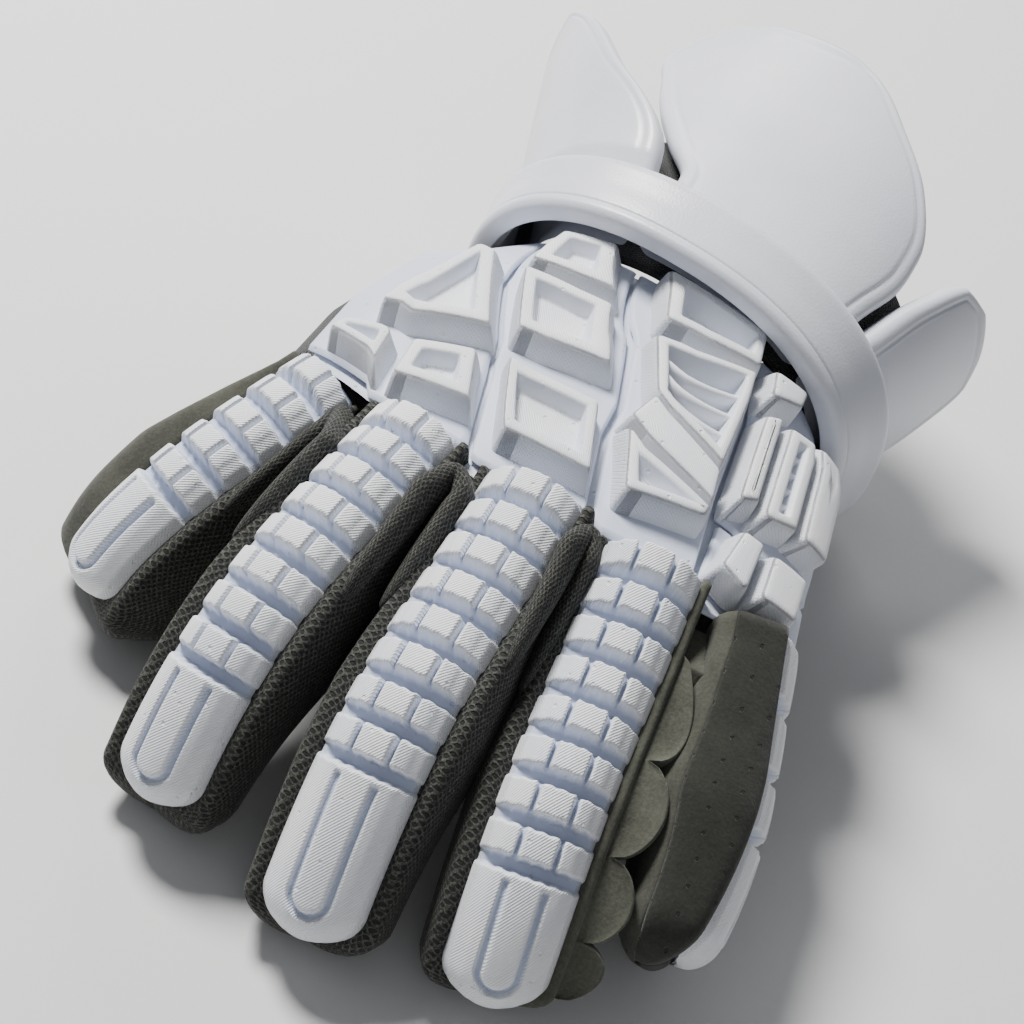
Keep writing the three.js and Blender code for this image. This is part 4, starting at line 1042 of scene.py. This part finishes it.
def stitches(name, path, outward, pitch=2.3, length=1.7):
    """Short raised thread capsules at even steps along a path."""
    run = flat_lengths(path[None])[0]
    body = Body()
    turn = np.linspace(0, 2 * math.pi, 8, endpoint=False)
    for start in np.arange(0.4, run[-1] - length, pitch):
        at = start + np.linspace(0, 1, 7) * length
        spots = np.stack([np.interp(at, run, path[:, k]) for k in range(3)], -1)
        ahead = unit(np.gradient(spots, axis=0))
        out = unit(np.cross(np.cross(ahead, unit(outward.mean(axis=0))), ahead))
        aside = np.cross(ahead, out)
        size = THREAD_RADIUS * np.array([0.25, 0.8, 1, 1, 1, 0.8, 0.25])[:, None, None]
        ring = spots[:, None] + size * (aside[:, None] * np.cos(turn)[:, None]
                                        + out[:, None] * np.sin(turn)[:, None])
        body.add(ring, tube_faces(*ring.shape[:2]))
    body.make(name, DARK_THREAD)


side_pad()

# Wrist band and cuff


def band():
    """The padded band: a rolled front edge, a sewn crease and a face that rises to the rear."""
    profile = curve([(-10.7, 0.6), (-11, 2.5), (-10.9, 5.2), (-9.6, 6.9), (-7.6, 7.5)], 5)
    crease = curve([(-7.6, 7.5), (-7.1, 7.15), (-6.6, 7.6)], 4)[1:]
    face = curve([(-6.6, 7.6), (-3, 8.6), (1, 9.6), (5, 10.9), (8.3, 11.9), (10.3, 11.5),
                  (11, 10.0), (11, 6.5), (10.6, 3.6)], 6)[1:]
    line = np.vstack([profile, crease, face])
    turn = np.linspace(0, 360, 200, endpoint=False)
    back, out = line[:, 0], line[:, 1]
    rings = cuff_point(turn[:, None], out, back)
    inner = cuff_point(turn[:, None], np.array([[2.2, 0.9]]), np.array([[6.0, -6.0]]))
    rings = np.concatenate([rings, inner], axis=1)
    rows, cols = rings.shape[:2]
    closed = np.concatenate([rings, rings[:1]])
    body = Body().add(closed, grid_faces(rows + 1, cols, loop=True))
    merged(body.make("wrist_band_cover", SATIN, ["wrist_band"], fill=0.9))


def merged(piece):
    """Joins the doubled points of a piece and turns its faces out."""
    mesh = piece.data
    work = bmesh.new()
    work.from_mesh(mesh)
    bmesh.ops.remove_doubles(work, verts=work.verts, dist=0.00001)
    bmesh.ops.recalc_face_normals(work, faces=work.faces)
    work.to_mesh(mesh)
    work.free()


band()

FLAPS = {
    "dorsal_flap": dict(
        length=1, lift=0, flare=0.15,
        t=[0, 0.24, 0.36, 0.52, 0.68, 0.81, 0.92, 1],
        start=[-14, -17, -28, -41, -50, -57, -58, -54],
        stop=[46, 47, 48, 44, 31, 16, 5, -6],
        crown=[0.82, 0.88, 0.93, 0.96, 0.98, 1, 1, 1, 0.99]),
    "ulnar_flap": dict(
        length=0.87, lift=3, flare=0.48,
        t=[0, 0.27, 0.59, 0.83, 0.92, 1],
        start=[-106, -106, -104, -100, -97, -92],
        stop=[-18, -21, -45, -60, -67, -74],
        crown=[0.80, 0.92, 0.98, 1, 1, 1, 1, 1, 0.98]),
    "radial_flap": dict(
        length=0.667, lift=1.5, flare=0.2,
        t=[0, 0.5, 0.68, 0.89, 1],
        start=[50, 51, 53, 57, 66],
        stop=[110, 106, 102, 96, 86],
        crown=[0.9, 0.96, 1, 1, 1, 1, 1, 0.99, 0.96]),
}

EDGE_RADIUS = 4.2  # rounding of a flap's border
SEAM_INSET = 6.5  # from a flap's border to its sewn seam
SEAM_DEPTH = 0.45


def flap(name):
    """A padded flap with rounded borders and a seam that runs along them."""
    f = FLAPS[name]
    reach = f["length"] * CUFF_LENGTH
    free = BAND_WIDTH / 2 + 1
    across = np.linspace(0, 1, 91)
    along = np.concatenate([[0.0, 0.5], np.linspace(1, 2, 90)])
    crown = monotone(np.linspace(0, 1, 9), f["crown"], across)
    share = along[:, None]
    back = np.where(share < 1, blend(-3, free, share), blend(free, reach * crown, share - 1))
    t = np.maximum(back, 0) / reach
    turn = blend(monotone(f["t"], f["start"], t), monotone(f["t"], f["stop"], t), across)
    past = np.maximum(back - free, 0)
    rise = WRIST_FLARE * (np.minimum(back, free) + BAND_WIDTH / 2) + f["flare"] * past
    proud = f["lift"] * clamp(past / 10)
    face = rise + proud - CUFF_GAP
    rough = cuff_point(turn, face, back)
    run = flat_lengths(rough)
    sides = np.minimum(run, run[:, -1:] - run)
    ends = reach * crown - back
    border = np.minimum(sides, ends)
    near = clamp(1 - border / EDGE_RADIUS)
    share_thick = np.sqrt(np.maximum(1 - near**2.2, 0))
    half = FLAP_THICKNESS / 2
    seam = SEAM_DEPTH * np.exp(-((border - SEAM_INSET) / 0.7) ** 2) * (share > 1.02)
    outer = cuff_point(turn, face - half + half * share_thick - seam, back)
    inner = cuff_point(turn, face - half - half * share_thick, back)
    body = sheet_body(outer, inner, np.stack([run, back], -1))
    merged(body.make(f"{name}_cover", SATIN, [name], fill=0.85))


for name in FLAPS:
    flap(name)


def cuff_lining():
    """The cloth tube inside the cuff, drawn in at its front."""
    turn = np.linspace(0, 360, 200, endpoint=False)
    under = clamp((np.abs(turn - 180) - 30) / 30)
    offset = blend(-CUFF_GAP, -FLAP_THICKNESS - CUFF_GAP * 2.4, under)
    back = np.linspace(-3, LINER_LENGTH, 26)
    along = (back - back[0]) / (back[-1] - back[0])
    out = (offset[:, None] + WRIST_FLARE * (back + BAND_WIDTH / 2) * under[:, None]
           - LINER_DRAW * under[:, None] * (1 - along))
    outer = cuff_point(turn[:, None], out, back)
    inner = cuff_point(turn[:, None], out - LINER_WALL, back)
    ring = np.concatenate([outer, inner[:, ::-1]], axis=1)
    closed = np.concatenate([ring, ring[:1]])
    rows, cols = closed.shape[:2]
    uv = np.stack(np.broadcast_arrays(np.arange(rows)[:, None] * 2.0, np.arange(cols) * 2.1), -1)
    body = Body().add(closed, grid_faces(rows, cols, loop=True), uv)
    merged(body.make("cuff_lining", LINING, ["cuff_liner"]))


cuff_lining()


def web():
    """The suede web between index finger and thumb, rounded from its solid."""
    node = frame["nodes"]["thumb_web"]
    piece = placed("thumb_web_suede", node.data.copy())
    piece.data.materials.clear()
    piece.data.materials.append(SUEDE)
    remesh = piece.modifiers.new("even", "REMESH")
    remesh.mode, remesh.voxel_size, remesh.use_smooth_shade = "VOXEL", 0.0006, True
    ease = piece.modifiers.new("ease", "SMOOTH")
    ease.factor, ease.iterations = 0.5, 6
    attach(piece, "root")
    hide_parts("thumb_web")


web()

# Floor, lights and camera


def stage_floor():
    mesh = bpy.data.meshes.new("floor")
    reach = 6.0
    corners = [(x * reach, y * reach, 0) for x, y in ((-1, -1), (1, -1), (1, 1), (-1, 1))]
    mesh.from_pydata(corners, [], [(0, 1, 2, 3)])
    g = Graph("floor_paper", (0.74, 0.74, 0.74), 0.7, Specular_IOR_Level=0.2)
    g.set("Base Color", g.mix(g.noise(400, 2), (0.72, 0.72, 0.725), (0.75, 0.75, 0.75)))
    mesh.materials.append(g.made)
    placed("floor", mesh)


def area_light(name, position, target, size, power, colour):
    data = bpy.data.lights.new(name, "AREA")
    data.shape, data.size, data.energy, data.color = "DISK", size, power, colour
    aim = (Vector(target) - Vector(position)).normalized()
    turned = aim.to_track_quat("-Z", "Y").to_matrix().to_4x4()
    placed(name, data).matrix_world = Matrix.Translation(position) @ turned


stage_floor()
world = bpy.data.worlds.new("studio")
world.use_nodes = True
sky = world.node_tree.nodes["Background"].inputs
sky["Color"].default_value, sky["Strength"].default_value = (0.92, 0.95, 1.0, 1), 0.2
bpy.context.scene.world = world

# Each lamp's name, place and target in metres, diameter, power in watts and colour
LAMPS = [
    ("key", (-0.66, 0.42, 1.12), (0, 0, 0.05), 0.42, 40, (1.0, 0.985, 0.96)),
    ("fill", (0.5, -1.1, 0.9), (0, 0, 0.05), 1.0, 1.5, (1, 1, 1)),
    ("rim", (-0.3, 1.1, 0.7), (0, 0.1, 0.05), 0.5, 5, (1, 1, 1)),
]
for lamp in LAMPS:
    area_light(*lamp)

# The camera, in pixels and in the glove's own frame

FOCAL_PIXELS = 2375.46
IMAGE_PIXELS = 1024
SENSOR = 36
RIGHT = Vector((0.907, 0.3562, 0.2246))
DOWN = Vector((0.4049, -0.5908, -0.6979))
FORWARD = Vector((-0.1159, 0.7239, -0.6801))
CAMERA_AT = np.array([87.0, -439.5, 392.6])


def add_camera():
    data = bpy.data.cameras.new("camera")
    data.sensor_width, data.lens = SENSOR, FOCAL_PIXELS * SENSOR / IMAGE_PIXELS
    data.clip_start, data.clip_end = 0.05, 20
    camera = placed("camera", data)
    turn = Matrix((RIGHT, -DOWN, -FORWARD)).transposed().to_4x4()
    camera.matrix_world = Matrix.Translation(metres(CAMERA_AT).tolist()) @ turn
    bpy.context.scene.camera = camera


add_camera()
